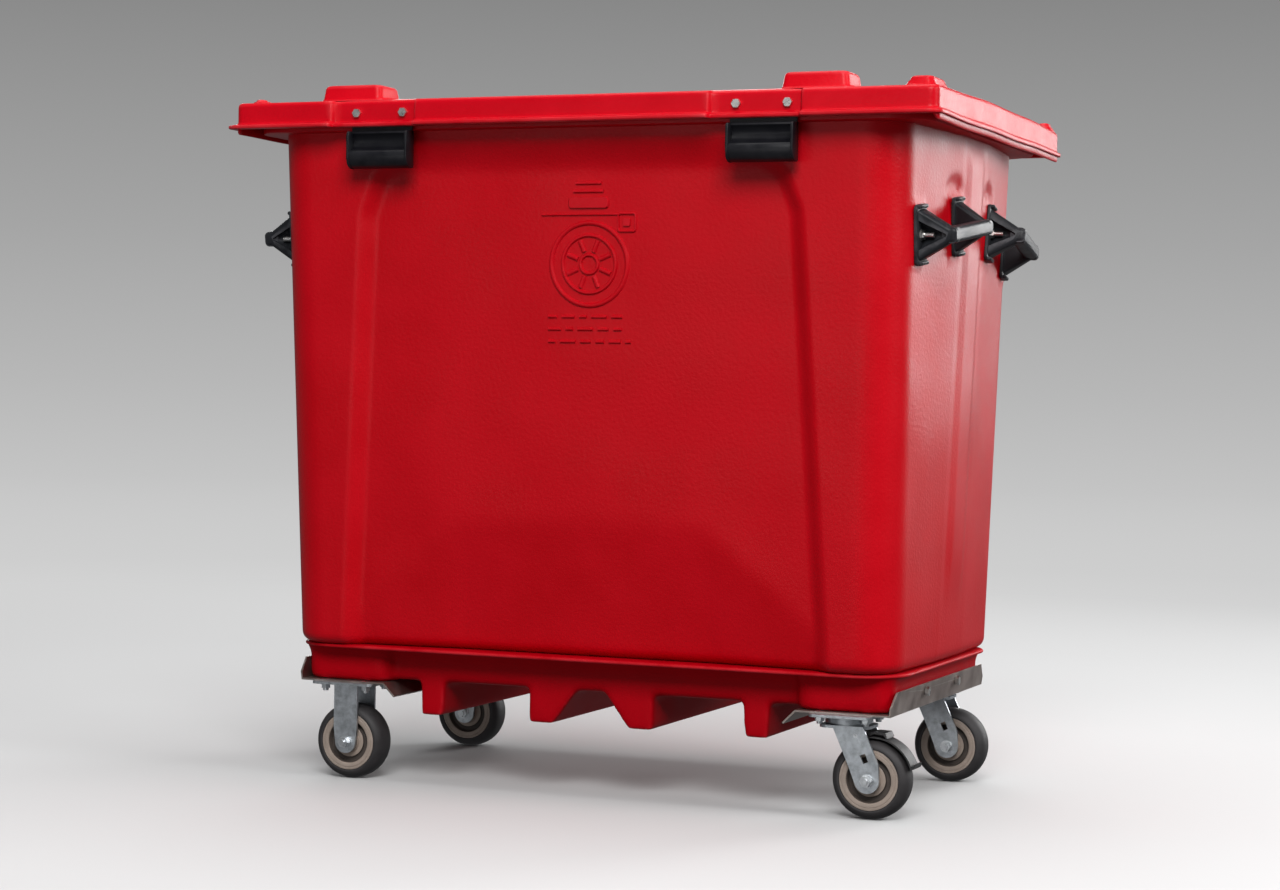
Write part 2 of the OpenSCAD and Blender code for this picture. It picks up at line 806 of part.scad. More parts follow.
module rigid_leg() {
    leg_w = 44;
    end_r = 19;
    polygon([[-leg_w / 2, plate_under_z + eps], [leg_w / 2, plate_under_z + eps],
        [leg_w / 2, 88], [end_r, wheel_r], [-end_r, wheel_r], [-leg_w / 2, 88]]);
    translate([0, wheel_r]) circle(end_r);
}

module rigid_fork(side) at_caster(-1, side) color(zinc) difference() {
    union() {
        caster_plate(plate_long, plate_short);
        for (y = [-1, 1]) translate([0, y * (cheek_in + cheek_out) / 2, 0])
            along_y(fork_t) rigid_leg();
    }
    plate_holes();
    translate([0, 0, wheel_r]) drill_y(axle_r + bolt_gap, -cheek_out - 1, cheek_out + 1);
}

module rigid_fork_front() rigid_fork(-1);

module rigid_fork_back() rigid_fork(1);

module rigid_axle_bolts() color(zinc) for (side = [-1, 1]) at_axle(-1, side) axle_bolt();

module rigid_axle_nuts() color(zinc) for (side = [-1, 1]) at_axle(-1, side) axle_nut();

module rigid_wheel_bushings() color(steel)
    for (side = [-1, 1]) at_axle(-1, side) wheel_bushing();

// ---------- Swivel casters ----------

module swivel_plate(side) at_caster(1, side) color(zinc) difference() {
    cup_z = 150.5;
    union() {
        caster_plate(plate_short, plate_long);
        translate([0, 0, cup_z]) cylinder(r = race_r, h = plate_under_z - cup_z + eps);
    }
    translate([0, 0, cup_z - 1]) cylinder(r = race_r - 5, h = ball_z + ball_r + 0.3 - cup_z + 1);
    plate_holes();
    cylinder(r = kingpin_r + bolt_gap, h = 200);
    translate([0, 0, channel_z - 2.5]) cylinder(r = 9.2, h = 10);
}

module swivel_plate_front() swivel_plate(-1);

module swivel_plate_back() swivel_plate(1);

module swivel_balls() color(steel) for (side = [-1, 1]) at_caster(1, side) for (i = [0:19])
    rotate([0, 0, i * 18]) translate([ball_ring_r, 0, ball_z]) sphere(r = ball_r, $fn = 16);

module kingpins() color(zinc) for (side = [-1, 1]) at_caster(1, side) {
    translate([0, 0, kingpin_end_z]) cylinder(r = kingpin_r, h = channel_z - kingpin_end_z);
    translate([0, 0, channel_z - 2.5]) cylinder(r = 9, h = 2.5);
}

module kingpin_nuts() color(zinc) for (side = [-1, 1]) at_caster(1, side)
    translate([0, 0, yoke_under_z - 8.3]) difference() {
        hex(19, 8);
        translate([0, 0, -1]) cylinder(r = kingpin_r + running, h = 10);
    }

module swivel_leg() {
    end_r = 20;
    difference() {
        union() {
            polygon([[-18, yoke_z], [33, yoke_z], [59, 90], [trail + end_r, wheel_r],
                [trail, wheel_r], [trail - 0.9 * end_r, wheel_r - 0.44 * end_r], [9, 88]]);
            translate([trail, wheel_r]) circle(end_r);
        }
        translate([35.8, 98]) rotate(23) square([9, 14], center = true);
    }
}

module swivel_fork(side) at_caster(1, side) color(zinc) difference() {
    union() {
        slab(84, 2 * cheek_out, 16, yoke_under_z, yoke_z);
        cylinder_ring(race_r - 8, 20, yoke_z - eps, ball_z - ball_r - 0.3);
        for (y = [-1, 1]) translate([0, y * (cheek_in + cheek_out) / 2, 0])
            along_y(fork_t) swivel_leg();
    }
    cylinder(r = kingpin_r + running, h = 200);
    translate([trail, 0, wheel_r]) drill_y(axle_r + bolt_gap, -cheek_out - 1, cheek_out + 1);
    if (side < 0)
        translate([pin_x, 0, pin_z]) drill_y(brake_pin_r + running, -cheek_out - 1, cheek_out + 1);
}

module cylinder_ring(r_out, r_in, z_low, z_high) {
    translate([0, 0, z_low]) difference() {
        cylinder(r = r_out, h = z_high - z_low);
        translate([0, 0, -1]) cylinder(r = r_in, h = z_high - z_low + 2);
    }
}

module swivel_fork_front() swivel_fork(-1);

module swivel_fork_back() swivel_fork(1);

module swivel_axle_bolt_front() color(zinc) at_axle(1, -1) axle_bolt();

module swivel_axle_bolt_back() color(zinc) at_axle(1, 1) axle_bolt();

module swivel_axle_nut_front() color(zinc) at_axle(1, -1) axle_nut();

module swivel_axle_nut_back() color(zinc) at_axle(1, 1) axle_nut();

module swivel_wheel_bushing_front() color(steel) at_axle(1, -1) wheel_bushing();

module swivel_wheel_bushing_back() color(steel) at_axle(1, 1) wheel_bushing();

// ---------- Brake ----------

// Plain pin, flush with the outside of the fork
module brake_pin() color(zinc) at_caster(1, -1) translate([pin_x, cheek_out, pin_z])
    rotate([90, 0, 0]) cylinder(r = brake_pin_r, h = 2 * cheek_out);

// Ring sector around the axle, between two angles
module band(r, t, a_low, a_high) {
    step = (a_high - a_low) / 12;
    polygon(concat([for (i = [0:12]) r * [cos(a_low + i * step), sin(a_low + i * step)]],
        [for (i = [12:-1:0]) (r + t) * [cos(a_low + i * step), sin(a_low + i * step)]]));
}

// The lever while it is pressed on the wheel, around the axle: a band over the tread, a knuckle
// on the pin, a pedal above the wheel and a short tail behind it
module pressed_lever() {
    pin = [pin_x - trail, pin_z - wheel_r];
    width = 2 * band_half_w;
    along_y(width) band(band_r, band_t, 12, 108);
    translate([pin.x, 0, pin.y]) along_y(width) circle(7);
    along_y(width) polygon([[-22, 68], [-6, 65.2], [6, 70.5], [22, 68.5], [26, 62], [28, 63],
        [25, 71.5], [6, 73.5], [-10, 72.5], [-20, 74]]);
    along_y(width) polygon([[63, 13.5], [69, 15], [71, 22], [68.6, 22.4], [67, 18.5], [63, 17]]);
}

// The lever swings on its pin: it is drawn pressed, then lifted to its released rest
module brake_lever() color(zinc) at_caster(1, -1)
    translate([pin_x, 0, pin_z]) rotate([0, -brake_lift, 0]) translate([-pin_x, 0, -pin_z])
        difference() {
            translate([trail, 0, wheel_r]) pressed_lever();
            translate([pin_x, 0, pin_z])
                drill_y(brake_pin_r + running, -band_half_w - 1, band_half_w + 1);
        }

// ---------- Wheels ----------

module wheel_core_left_front() at_axle(-1, -1) wheel_core();

module wheel_core_left_back() at_axle(-1, 1) wheel_core();

module wheel_core_right_front() at_axle(1, -1) wheel_core();

module wheel_core_right_back() at_axle(1, 1) wheel_core();

module tyre_left_front() at_axle(-1, -1) tyre();

module tyre_left_back() at_axle(-1, 1) tyre();

module tyre_right_front() at_axle(1, -1) tyre();

module tyre_right_back() at_axle(1, 1) tyre();

tub();
base();
lid();
caster_channel_left();
caster_channel_right();
channel_bolts();
lid_grip_left();
lid_grip_right();
grip_bolts();
hinge_strap_left();
hinge_strap_right();
strap_bolts();
hinge_pins();
hinge_arm_left();
hinge_arm_right();
hinge_arm_bolts();
handle_left_front();
handle_left_back();
handle_right_front();
handle_right_back();
handle_studs();
rigid_fork_front();
rigid_fork_back();
rigid_axle_bolts();
rigid_axle_nuts();
rigid_wheel_bushings();
swivel_plate_front();
swivel_plate_back();
swivel_balls();
kingpins();
kingpin_nuts();
caster_bolts();
caster_nuts();
swivel_fork_front();
swivel_axle_bolt_front();
swivel_axle_nut_front();
swivel_wheel_bushing_front();
brake_pin();
brake_lever();
swivel_fork_back();
swivel_axle_bolt_back();
swivel_axle_nut_back();
swivel_wheel_bushing_back();
wheel_core_left_front();
tyre_left_front();
wheel_core_left_back();
tyre_left_back();
wheel_core_right_front();
tyre_right_front();
wheel_core_right_back();
tyre_right_back();
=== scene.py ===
import math

import bmesh
import bpy
import numpy as np
from mathutils import Matrix, Vector


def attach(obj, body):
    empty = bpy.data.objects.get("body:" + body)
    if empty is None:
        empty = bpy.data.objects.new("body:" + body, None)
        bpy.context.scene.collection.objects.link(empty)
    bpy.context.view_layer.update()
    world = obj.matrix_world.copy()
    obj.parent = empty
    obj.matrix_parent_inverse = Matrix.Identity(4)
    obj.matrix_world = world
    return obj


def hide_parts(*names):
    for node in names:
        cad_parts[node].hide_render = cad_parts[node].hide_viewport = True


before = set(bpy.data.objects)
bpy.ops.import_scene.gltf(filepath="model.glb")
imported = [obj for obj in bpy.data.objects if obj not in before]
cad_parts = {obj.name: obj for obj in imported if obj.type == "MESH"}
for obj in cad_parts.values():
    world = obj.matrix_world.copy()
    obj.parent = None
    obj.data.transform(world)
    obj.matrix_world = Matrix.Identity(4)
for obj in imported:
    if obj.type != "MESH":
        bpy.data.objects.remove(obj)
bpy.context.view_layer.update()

# Shapes are drawn in millimetres around the middle of the tub, which lies MIDDLE_Y in front of the
# middle of the whole cart. +X is the swivel end, -Y the front and +Z up.
MM = 0.001
MIDDLE_Y = 18.5

# Tub
SEAM_Z = 232.0
TOP_Z = 1126.0
TUB_LENGTH = (1063.0, 1097.0)
TUB_WIDTH = (605.0, 701.0)
TUB_BULGE = (6.0, 21.0)
TUB_CORNER = 70.0
RIDGE = 75.0
WALL = 6.0
RIM_LENGTH, RIM_WIDTH, RIM_DROP = 1174.0, 724.0, 41.0
# The set-back panel on each long side: the X of its edge by height, and where its top fades out
PANEL_DEPTH = 17.0
PANEL_EDGE_Z, PANEL_EDGE_X = (232, 950, 1010, 1060), (416, 374, 350, 290)
PANEL_FADE = (1010.0, 1075.0)
# The arch in its lower part, below which the wall slopes further in
ARCH_X, ARCH_Z = (0, 215, 382, 440), (470, 470, 331, 262)
ARCH_SLOPE, ARCH_SOFT = 0.11, 36.0
# Ends: the rise of the ridge, then the place, half size and depth of the oval dents
RIDGE_RISE = 5.0
DENT_AT, DENT_HALF, DENT_DEPTH = (104.0, 996.0), (46.0, 27.0), 6.0

# Base
LEDGE_HALF, LEDGE_CORNER, LEDGE_H = (537.0, 293.0), 84.0, 7.0
BASE_HALF, BASE_MID, BASE_CORNER = (518.0, 264.0), 242.0, 26.0
BLOCK_X, BLOCK_Z, POCKET_Z, LUG_Z = 359.0, 168.7, 172.0, 116.0
# X of each lug's corners: top, bottom, bottom and top, from the middle outwards
LUGS = [(265.0, 269.0, 308.0, 312.0), (15.0, 67.0, 111.0, 111.0)]

# End handles
HANDLE_Y, HANDLE_Z, HANDLE_TILT, HANDLE_GAP = 177.5, 927.0, math.radians(8), 2.0
HANDLE_HALF, HANDLE_OUT = 102.5, 50.0
FLANGE_HALF, BAR_HALF, BAR_CORNER = (22.0, 47.5), 12.4, 7.5
# Flat seat under each flange: from where to where along the bar, and its half height
SEAT_Y, SEAT_Z, SEAT_SOFT, SEAT_GAP = (55.0, 106.0), 51.0, 7.0, 0.2

# Lid
LID_LENGTH, LID_WIDTH, LID_CORNER, LID_SHIFT = 1208.0, 776.0, 15.0, 7.0
LID_EDGE_Z, LID_CROWN, LIP_Z, END_BOW = 1133.0, 13.0, 1090.0, 6.0
LIP_LEFT, LIP_RIGHT, LIP_Y, PAD_LIP = 18.0, 6.0, 10.0, 8.0
PAD_X, PAD_HALF, PAD_SET, PAD_SHIFT = 330.0, 75.0, 10.0, 10.0
HINGE_GAP_HALF = 60.0
NOTCH_HALF, NOTCH_TOP = 20.0, 1111.0
# Big bosses: x, y and top, then the half sizes at the base and at the top
BIG_BOSS = ((405.0, -285.0, 1166.0), (55.0, 37.0), (53.0, 35.5))
# Corner bosses: x, y and top, then the half sizes at the base and at the top
CORNER_BOSSES = [((573.0, -310.0, 1151.0), (22.0, 43.0), (18.5, 39.5)),
                 ((590.0, 364.0, 1147.0), (14.0, 18.0), (10.0, 14.0)),
                 ((-575.0, -337.0, 1143.0), (12.0, 15.0), (9.0, 12.0)),
                 ((-575.0, 337.0, 1143.0), (12.0, 15.0), (9.0, 12.0))]

# Casters
AXLE_X = (-441.0, 481.5)
AXLE_Y = 229.0
WHEEL_R = 63.5


# ---------- Helpers ----------

def smooth(low, high, value):
    """0 below low, 1 above high, with a soft ramp between them."""
    t = np.clip((np.asarray(value, float) - low) / (high - low), 0.0, 1.0)
    return t * t * (3.0 - 2.0 * t)


def window(value, low, high, soft):
    """1 between low and high, 0 outside, with ramps of the given width."""
    return smooth(low - soft / 2, low + soft / 2, value) * (
        1.0 - smooth(high - soft / 2, high + soft / 2, value))


def at_height(pair, z):
    """Value at z, between those at the seam and at the top."""
    return pair[0] + (pair[1] - pair[0]) * (z - SEAM_Z) / (TOP_Z - SEAM_Z)


def mesh_object(name, parts, angle=35.0):
    """A closed mesh from [(points in millimetres, faces), ...], with its normals facing out."""
    points, faces = [], []
    for part_points, part_faces in parts:
        start = len(points)
        points.extend(((x * MM, (y - MIDDLE_Y) * MM, z * MM) for x, y, z in part_points))
        faces.extend([tuple(i + start for i in face) for face in part_faces])
    mesh = bpy.data.meshes.new(name)
    mesh.from_pydata(points, [], faces)
    edit = bmesh.new()
    edit.from_mesh(mesh)
    bmesh.ops.recalc_face_normals(edit, faces=edit.faces)
    edit.to_mesh(mesh)
    edit.free()
    mesh.shade_smooth()
    mesh.set_sharp_from_angle(angle=math.radians(angle))
    item = bpy.data.objects.new(name, mesh)
    bpy.context.scene.collection.objects.link(item)
    return item


def loft(rings, closed=False):
    """Joins rings of equal length with quads; the ends are capped unless the rings close up."""
    count, size = len(rings), len(rings[0])
    faces = []
    for k in range(count if closed else count - 1):
        a, b = k * size, (k + 1) % count * size
        for i in range(size):
            j = (i + 1) % size
            faces.append((a + i, a + j, b + j, b + i))
    if not closed:
        faces.append(tuple(range(size)))
        faces.append(tuple((count - 1) * size + i for i in range(size)))
    return [tuple(p) for ring in rings for p in ring], faces


def ring_at(xy, z):
    """(x, y, z) points from an outline and one height or a height for each point."""
    return np.column_stack([xy, np.broadcast_to(z, len(xy))])


def quarter_ring(quarters):
    """Joins the outlines of four quarters, each running from its long side to its end."""
    back_right, front_right, front_left, back_left = quarters
    return np.concatenate([back_right[:-1], front_right[::-1][:-1], front_left[:-1],
                           back_left[::-1][:-1]])


# ---------- Tub ----------

SIDE_X = np.concatenate([np.arange(0, 340, 12.0), np.arange(340, 440, 3.6),
                         np.linspace(440, 470, 5)]) / 470.0
CORNER_STEPS = 12
END_STEPS = 44
RIDGE_STEPS = 6


def tub_quarter(half_l, half_w, corner, bulge):
    """Outline of one quarter: long side, corner, sloping end and the ridge in its middle."""
    cx, cy = half_l - corner, half_w - corner
    across, along = corner + bulge, cy - RIDGE
    slope = math.atan2(across, along) - math.asin(corner / math.hypot(across, along))
    side = np.column_stack([SIDE_X * cx, np.full(len(SIDE_X), half_w)])
    turn = np.linspace(math.pi / 2, slope, CORNER_STEPS + 1)[1:]
    arc = np.column_stack([cx + corner * np.cos(turn), cy + corner * np.sin(turn)])
    end_y = np.linspace(arc[-1, 1], RIDGE, END_STEPS + 1)[1:]
    t = (arc[-1, 1] - end_y) / (arc[-1, 1] - RIDGE)
    end = np.column_stack([arc[-1, 0] + (half_l + bulge - arc[-1, 0]) * t, end_y])
    ridge_y = np.linspace(RIDGE, 0.0, RIDGE_STEPS + 1)[1:]
    ridge = np.column_stack([np.full(len(ridge_y), half_l + bulge), ridge_y])
    return np.concatenate([side, arc, end, ridge])


def tub_outline(z, inset):
    """Outline of the wall at height z, moved in by inset."""
    quarter = tub_quarter(at_height(TUB_LENGTH, z) / 2 - inset, at_height(TUB_WIDTH, z) / 2 - inset,
                          TUB_CORNER - inset, at_height(TUB_BULGE, z))
    outline = quarter_ring([quarter * (sx, sy) for sx, sy in ((1, 1), (1, -1), (-1, -1), (-1, 1))])
    return outline + relief_of_wall(outline, z, inset)


def panel_depth(x, z):
    """How far the long sides are set back at x and z."""
    x = np.abs(x)
    edge = np.interp(z, PANEL_EDGE_Z, PANEL_EDGE_X)
    panel = smooth(-17, 17, edge - x) * (1 - smooth(*PANEL_FADE, z))
    below = np.maximum(np.interp(x, ARCH_X, ARCH_Z) - z, 0.0)
    arch = np.where(below < ARCH_SOFT, below ** 2 / (2 * ARCH_SOFT),
                    below - ARCH_SOFT / 2) * ARCH_SLOPE
    return PANEL_DEPTH * panel + arch * smooth(0, 24, edge - x)


def end_x(z, y):
    """Distance of the sloping part of an end wall from the middle."""
    across = TUB_CORNER + at_height(TUB_BULGE, z)
    along = at_height(TUB_WIDTH, z) / 2 - TUB_CORNER - RIDGE
    slope = math.atan2(across, along) - math.asin(TUB_CORNER / math.hypot(across, along))
    return (at_height(TUB_LENGTH, z) / 2 + at_height(TUB_BULGE, z)
            - (y - RIDGE) * math.tan(slope)), slope


def handle_frame():
    """Frame of the handle on the right-hand back: X out of the wall and Y along the bar."""
    x, slope = end_x(HANDLE_Z, HANDLE_Y)
    lean = math.atan((end_x(TOP_Z, HANDLE_Y)[0] - end_x(SEAM_Z, HANDLE_Y)[0]) / (TOP_Z - SEAM_Z))
    turn = (Matrix.Rotation(slope, 3, "Z") @ Matrix.Rotation(lean, 3, "Y")
            @ Matrix.Rotation(-HANDLE_TILT, 3, "X"))
    return np.array(turn), np.array([x + HANDLE_GAP, HANDLE_Y, HANDLE_Z])


def relief_of_wall(outline, z, inset):
    """Displacement of the outline by the side panels and by the shapes of the ends."""
    x, y = outline[:, 0], np.abs(outline[:, 1])
    half_w = at_height(TUB_WIDTH, z) / 2
    on_side = (np.abs(x) < at_height(TUB_LENGTH, z) / 2 - TUB_CORNER + 1) * (y > half_w * 0.7)
    shift_y = -np.sign(outline[:, 1]) * panel_depth(x, z) * on_side
    on_end = (y < half_w - TUB_CORNER + 24) * (np.abs(x) > 400)
    ridge = RIDGE_RISE * ((1 - smooth(34, 54, y)) * smooth(300, 420, z)
                          * (1 - smooth(1030, 1080, z)))
    oval = np.hypot((y - DENT_AT[0]) / DENT_HALF[0], (z - DENT_AT[1]) / DENT_HALF[1])
    dent = -DENT_DEPTH * (1 - smooth(0.4, 1.1, oval))
    turn, origin = handle_frame()
    seat_x = origin[0] - (turn[1, 0] * (y - origin[1]) + turn[2, 0] * (z - origin[2])) / turn[0, 0]
    local_z = z - origin[2] + (y - origin[1]) * math.sin(HANDLE_TILT)
    seat = (window(np.abs(y - origin[1]), *SEAT_Y, SEAT_SOFT)
            * window(local_z, -SEAT_Z, SEAT_Z, SEAT_SOFT) * (y > RIDGE - 5))
    rise = (seat_x - SEAT_GAP - inset - np.abs(x)) * seat
    shift_x = (ridge + dent * (1 - seat) + rise) * on_end
    return np.column_stack([np.sign(x) * shift_x, shift_y])


def rounded_in(radius, steps):
    """(inset, height) pairs of a quarter circle that turns from flat to upright."""
    return [(radius * (1 - math.sin(a)), radius * (1 - math.cos(a)))
            for a in np.linspace(0, math.pi / 2, steps)]


def tub_shell():
    """Closed skin of the tub: up the outside, over the rim and down the inside."""
    rings = []
    for inset, height in rounded_in(17.0, 7):
        rings.append(ring_at(tub_outline(SEAM_Z + height, inset), SEAM_Z + 0.3 + height))
    for z in np.arange(258, 1084, 8.5):
        rings.append(ring_at(tub_outline(z, 0), z))
    rim = quarter_ring([tub_quarter(RIM_LENGTH / 2, RIM_WIDTH / 2, TUB_CORNER, 0.0) * (sx, sy)
                        for sx, sy in ((1, 1), (1, -1), (-1, -1), (-1, 1))])
    middle = tub_outline(TOP_Z - RIM_DROP, 0)
    low = TOP_Z - RIM_DROP
    for share, z in ((0.0, low - 1), (0.25, low - 0.6), (0.8, low - 0.2), (0.97, low + 1),
                     (1.0, low + 4), (1.0, TOP_Z - 20), (1.0, TOP_Z - 5), (0.95, TOP_Z - 1),
                     (0.8, TOP_Z)):
        rings.append(ring_at(middle + (rim - middle) * share, z))
    rings.append(ring_at(tub_outline(TOP_Z, WALL - 2), TOP_Z))
    rings.append(ring_at(tub_outline(TOP_Z - 2, WALL), TOP_Z - 2))
    for z in np.arange(TOP_Z - 20, 290, -34.0):
        rings.append(ring_at(tub_outline(z, WALL), z))
    for inset, height in reversed(rounded_in(26.0, 6)):
        z = SEAM_Z + WALL + height
        rings.append(ring_at(tub_outline(z, WALL + inset), z))
    return mesh_object("tub_shell", [loft(rings)])


# ---------- Base ----------

def soft_union(name, parts, voxel, rounds, keep):
    """Overlapping closed parts fused into one skin with soft edges."""
    body = mesh_object("union", parts)
    fuse = body.modifiers.new("fuse", "REMESH")
    fuse.mode, fuse.voxel_size = "VOXEL", voxel * MM
    soft = body.modifiers.new("soft", "SMOOTH")
    soft.factor, soft.iterations = 0.5, rounds
    thin = body.modifiers.new("thin", "DECIMATE")
    thin.ratio = keep
    bpy.context.view_layer.update()
    skin = bpy.data.meshes.new_from_object(body.evaluated_get(
        bpy.context.evaluated_depsgraph_get()))
    bpy.data.objects.remove(body)
    skin.shade_smooth()
    item = bpy.data.objects.new(name, skin)
    bpy.context.scene.collection.objects.link(item)
    return item


def base_block(x, half_x, half_y, low):
    """Block with round corners, a soft lower edge and a flare under the ledge."""
    levels = [(inset, low + up) for inset, up in rounded_in(9.0, 5)]
    levels += [(0.0, 208.0), (-1.0, 214.0), (-4.0, 221.0), (-9.0, 228.0)]
    return loft([
        ring_at(rounded_box(half_x - inset, half_y - inset, BASE_CORNER - inset) + (x, 0), z)
        for inset, z in levels])


def lug(outline):
    """Lug that runs from front to back with an (x, z) outline."""
    ends = np.array([-BASE_MID, BASE_MID])
    return loft([[(x, y, z) for x, z in outline] for y in ends])


def base_shell():
    """Undercarriage: the middle, the raised ends on the channels and the lugs."""
    top = POCKET_Z + 14.0
    block_mid, block_half = (BLOCK_X + BASE_HALF[0]) / 2, (BASE_HALF[0] - BLOCK_X) / 2
    parts = [base_block(0.0, BASE_HALF[0], BASE_MID, POCKET_Z)]
    for side in (-1, 1):
        parts.append(base_block(side * block_mid, block_half, BASE_HALF[1], BLOCK_Z))
        for corners in LUGS:
            parts.append(lug([(side * x, z) for x, z in zip(corners, (top, LUG_Z, LUG_Z, top))]))
    return soft_union("base_shell", parts, voxel=4.0, rounds=18, keep=0.3)


def base_ledge():
    """Thin rolled lip along the seam."""
    low = SEAM_Z - LEDGE_H
    levels = ((14.0, low + 0.6), (4.0, low + 0.2), (1.2, low + 0.9), (0.0, low + 2.8),
              (0.6, low + 4.8), (2.6, low + 6.2), (7.0, SEAM_Z), (30.0, SEAM_Z))
    half_x, half_y = LEDGE_HALF
    return mesh_object("base_ledge", [loft([
        ring_at(rounded_box(half_x - inset, half_y - inset, LEDGE_CORNER - inset, 16), z)
        for inset, z in levels])], 50.0)


# ---------- Lid ----------

def lid_side_x():
    """Columns along half a long side, close together where a pad, a hinge gap or a notch begins
    or ends. The lid is shifted along X, so each edge falls in two places."""
    columns = [np.arange(0, 570, 15.0), np.linspace(520, LID_LENGTH / 2 - LID_CORNER, 5)]
    for end in (-1, 1):
        for edge in (-1, 1):
            for at in (PAD_X + end * PAD_SHIFT + edge * PAD_HALF, PAD_X + edge * HINGE_GAP_HALF):
                columns.append(at + end * LID_SHIFT + np.array([-3.0, -1.5, 0.0, 1.5, 3.0]))
            notch = PAD_X + edge * NOTCH_HALF + end * LID_SHIFT
            columns.append(notch + np.array([-0.1, 0.1]))
    return np.unique(np.concatenate(columns))


LID_SIDE_X = lid_side_x()


def lid_base():
    """Outline of the skirt and its outward normals."""
    cx, cy = LID_LENGTH / 2 - LID_CORNER, LID_WIDTH / 2 - LID_CORNER
    turn = np.linspace(math.pi / 2, 0, 11)[1:]
    end_y = np.linspace(cy, 0, 16)[1:]
    points = np.concatenate([
        np.column_stack([LID_SIDE_X, np.full(len(LID_SIDE_X), cy + LID_CORNER)]),
        np.column_stack([cx + LID_CORNER * np.cos(turn), cy + LID_CORNER * np.sin(turn)]),
        np.column_stack([np.full(len(end_y), cx + LID_CORNER), end_y])])
    normals = np.concatenate([
        np.tile([0.0, 1.0], (len(LID_SIDE_X), 1)),
        np.column_stack([np.cos(turn), np.sin(turn)]),
        np.tile([1.0, 0.0], (len(end_y), 1))])
    signs = ((1, 1), (1, -1), (-1, -1), (-1, 1))
    return (quarter_ring([points * s for s in signs]), quarter_ring([normals * s for s in signs]))


def lid_crown_z(share):
    """Height of the lid's top, from its edge at 0 towards its middle at 1."""
    return LID_EDGE_Z + LID_CROWN * (1 - (1 - np.minimum(share / 0.42, 1.0)) ** 1.6)


def lid_top_z(x, y):
    """Height of the lid's top at x and y."""
    half_x = LID_LENGTH / 2 + np.where(np.asarray(x) > 0, LID_SHIFT, -LID_SHIFT)
    share = 1 - np.maximum(np.abs(x) / half_x, np.abs(y) / (LID_WIDTH / 2))
    return lid_crown_z(np.maximum(share, 0.0))


def lid_shell():
    """Closed skin of the lid, from its crown over the skirt and the lip to its underside."""
    base, normal = lid_base()
    base = base + (LID_SHIFT, 0.0)
    x, y = np.abs(base[:, 0]), base[:, 1]
    from_pad = np.abs(np.abs(base[:, 0] + PAD_SHIFT) - PAD_X)
    pad = PAD_SET * (1 - smooth(PAD_HALF - 3, PAD_HALF + 3, from_pad)) * (y < -LID_WIDTH / 4)
    behind = window(x, PAD_X - HINGE_GAP_HALF, PAD_X + HINGE_GAP_HALF, 3.0) * (y > LID_WIDTH / 4)
    notch = (np.abs(x - PAD_X) < NOTCH_HALF) * (y > LID_WIDTH / 4)
    lip = (1 - behind) * (1 - (1 - PAD_LIP / LIP_Y) * pad / PAD_SET)
    lip_x = np.where(base[:, 0] > 0, LIP_RIGHT, LIP_LEFT)
    at_end = smooth(0.5, 1.0, np.abs(normal[:, 0]))
    bow = END_BOW * at_end * (1 - (y / (LID_WIDTH / 2)) ** 2)
    ripple = 0.7 * np.sin(y / 47.0) * at_end

    def skirt(out, flare, z, drop=0.0):
        """Ring at height z, out from the skirt plus a share of the lip, lowered at the ends."""
        amount = np.column_stack([out + flare * lip_x * lip, out + flare * LIP_Y * lip])
        amount[:, 1] -= pad
        span = LID_EDGE_Z - LIP_Z
        height = np.where(notch, NOTCH_TOP + (z - LIP_Z) * (LID_EDGE_Z - NOTCH_TOP) / span, z)
        rise = bow * np.clip((z - LIP_Z) / span, 0, 1)
        return ring_at(base + normal * amount, height + rise - (drop + ripple) * at_end)

    def top_ring(inset, share, lower=0.0):
        """Ring of the top, or of its underside, in which the pads and the bow fade away."""
        flat = (base - normal * inset) * (1 - share)
        flat[:, 1] += pad * (1 - smooth(0.0, 0.1, share))
        fade = np.maximum(0.0, 1 - share / 0.3)
        return ring_at(flat, lid_crown_z(share) + bow * fade - lower)

    rings = []
    for share in (0.93, 0.8, 0.66, 0.54, 0.44, 0.36, 0.29, 0.23, 0.17, 0.12, 0.08, 0.05, 0.025,
                  0.01):
        rings.append(top_ring(9.0, share))
    edge_r = 8.0
    for a in np.linspace(0, math.pi / 2, 7):
        rings.append(skirt(edge_r * (math.sin(a) - 1), 0, LID_EDGE_Z - edge_r * (1 - math.cos(a))))
    for z in (1118.0, 1110.0, 1104.0, 1100.5):
        rings.append(skirt(0, 0, z))
    for flare, z in ((0.06, 1098.7), (0.25, 1097.4), (0.6, 1096.4), (0.86, 1095.8), (0.97, 1094.9),
                     (1.0, 1093.4), (0.98, 1091.2), (0.9, 1090.1), (0.75, 1089.6)):
        rings.append(skirt(0, flare, z))
    for out, z, drop in ((0.6, 1089.8, 0.0), (0.4, 1089.6, 6.5), (-1.0, 1089.5, 8.5),
                         (-4.0, 1089.6, 8.5), (-5.6, 1090.4, 7.0), (-6.0, 1092.0, 0.0),
                         (-6.0, 1110.0, 0.0), (-6.0, 1123.0, 0.0), (-7.0, 1125.6, 0.0),
                         (-10.0, 1127.0, 0.0)):
        rings.append(skirt(out, 0, z, drop))
    for share in (0.02, 0.06, 0.12, 0.2, 0.3, 0.42, 0.7, 0.93):
        rings.append(top_ring(12.0, share, WALL))
    return mesh_object("lid_shell", [loft(rings)], 38.0)


def rounded_box(half_x, half_y, corner, steps=7):
    """Outline of a rectangle with round corners."""
    points = []
    for sx, sy, start in ((1, 1, 0), (-1, 1, 90), (-1, -1, 180), (1, -1, 270)):
        for a in np.radians(start + np.linspace(0, 90, steps)):
            points.append((sx * (half_x - corner) + corner * math.cos(a),
                           sy * (half_y - corner) + corner * math.sin(a)))
    return np.array(points)


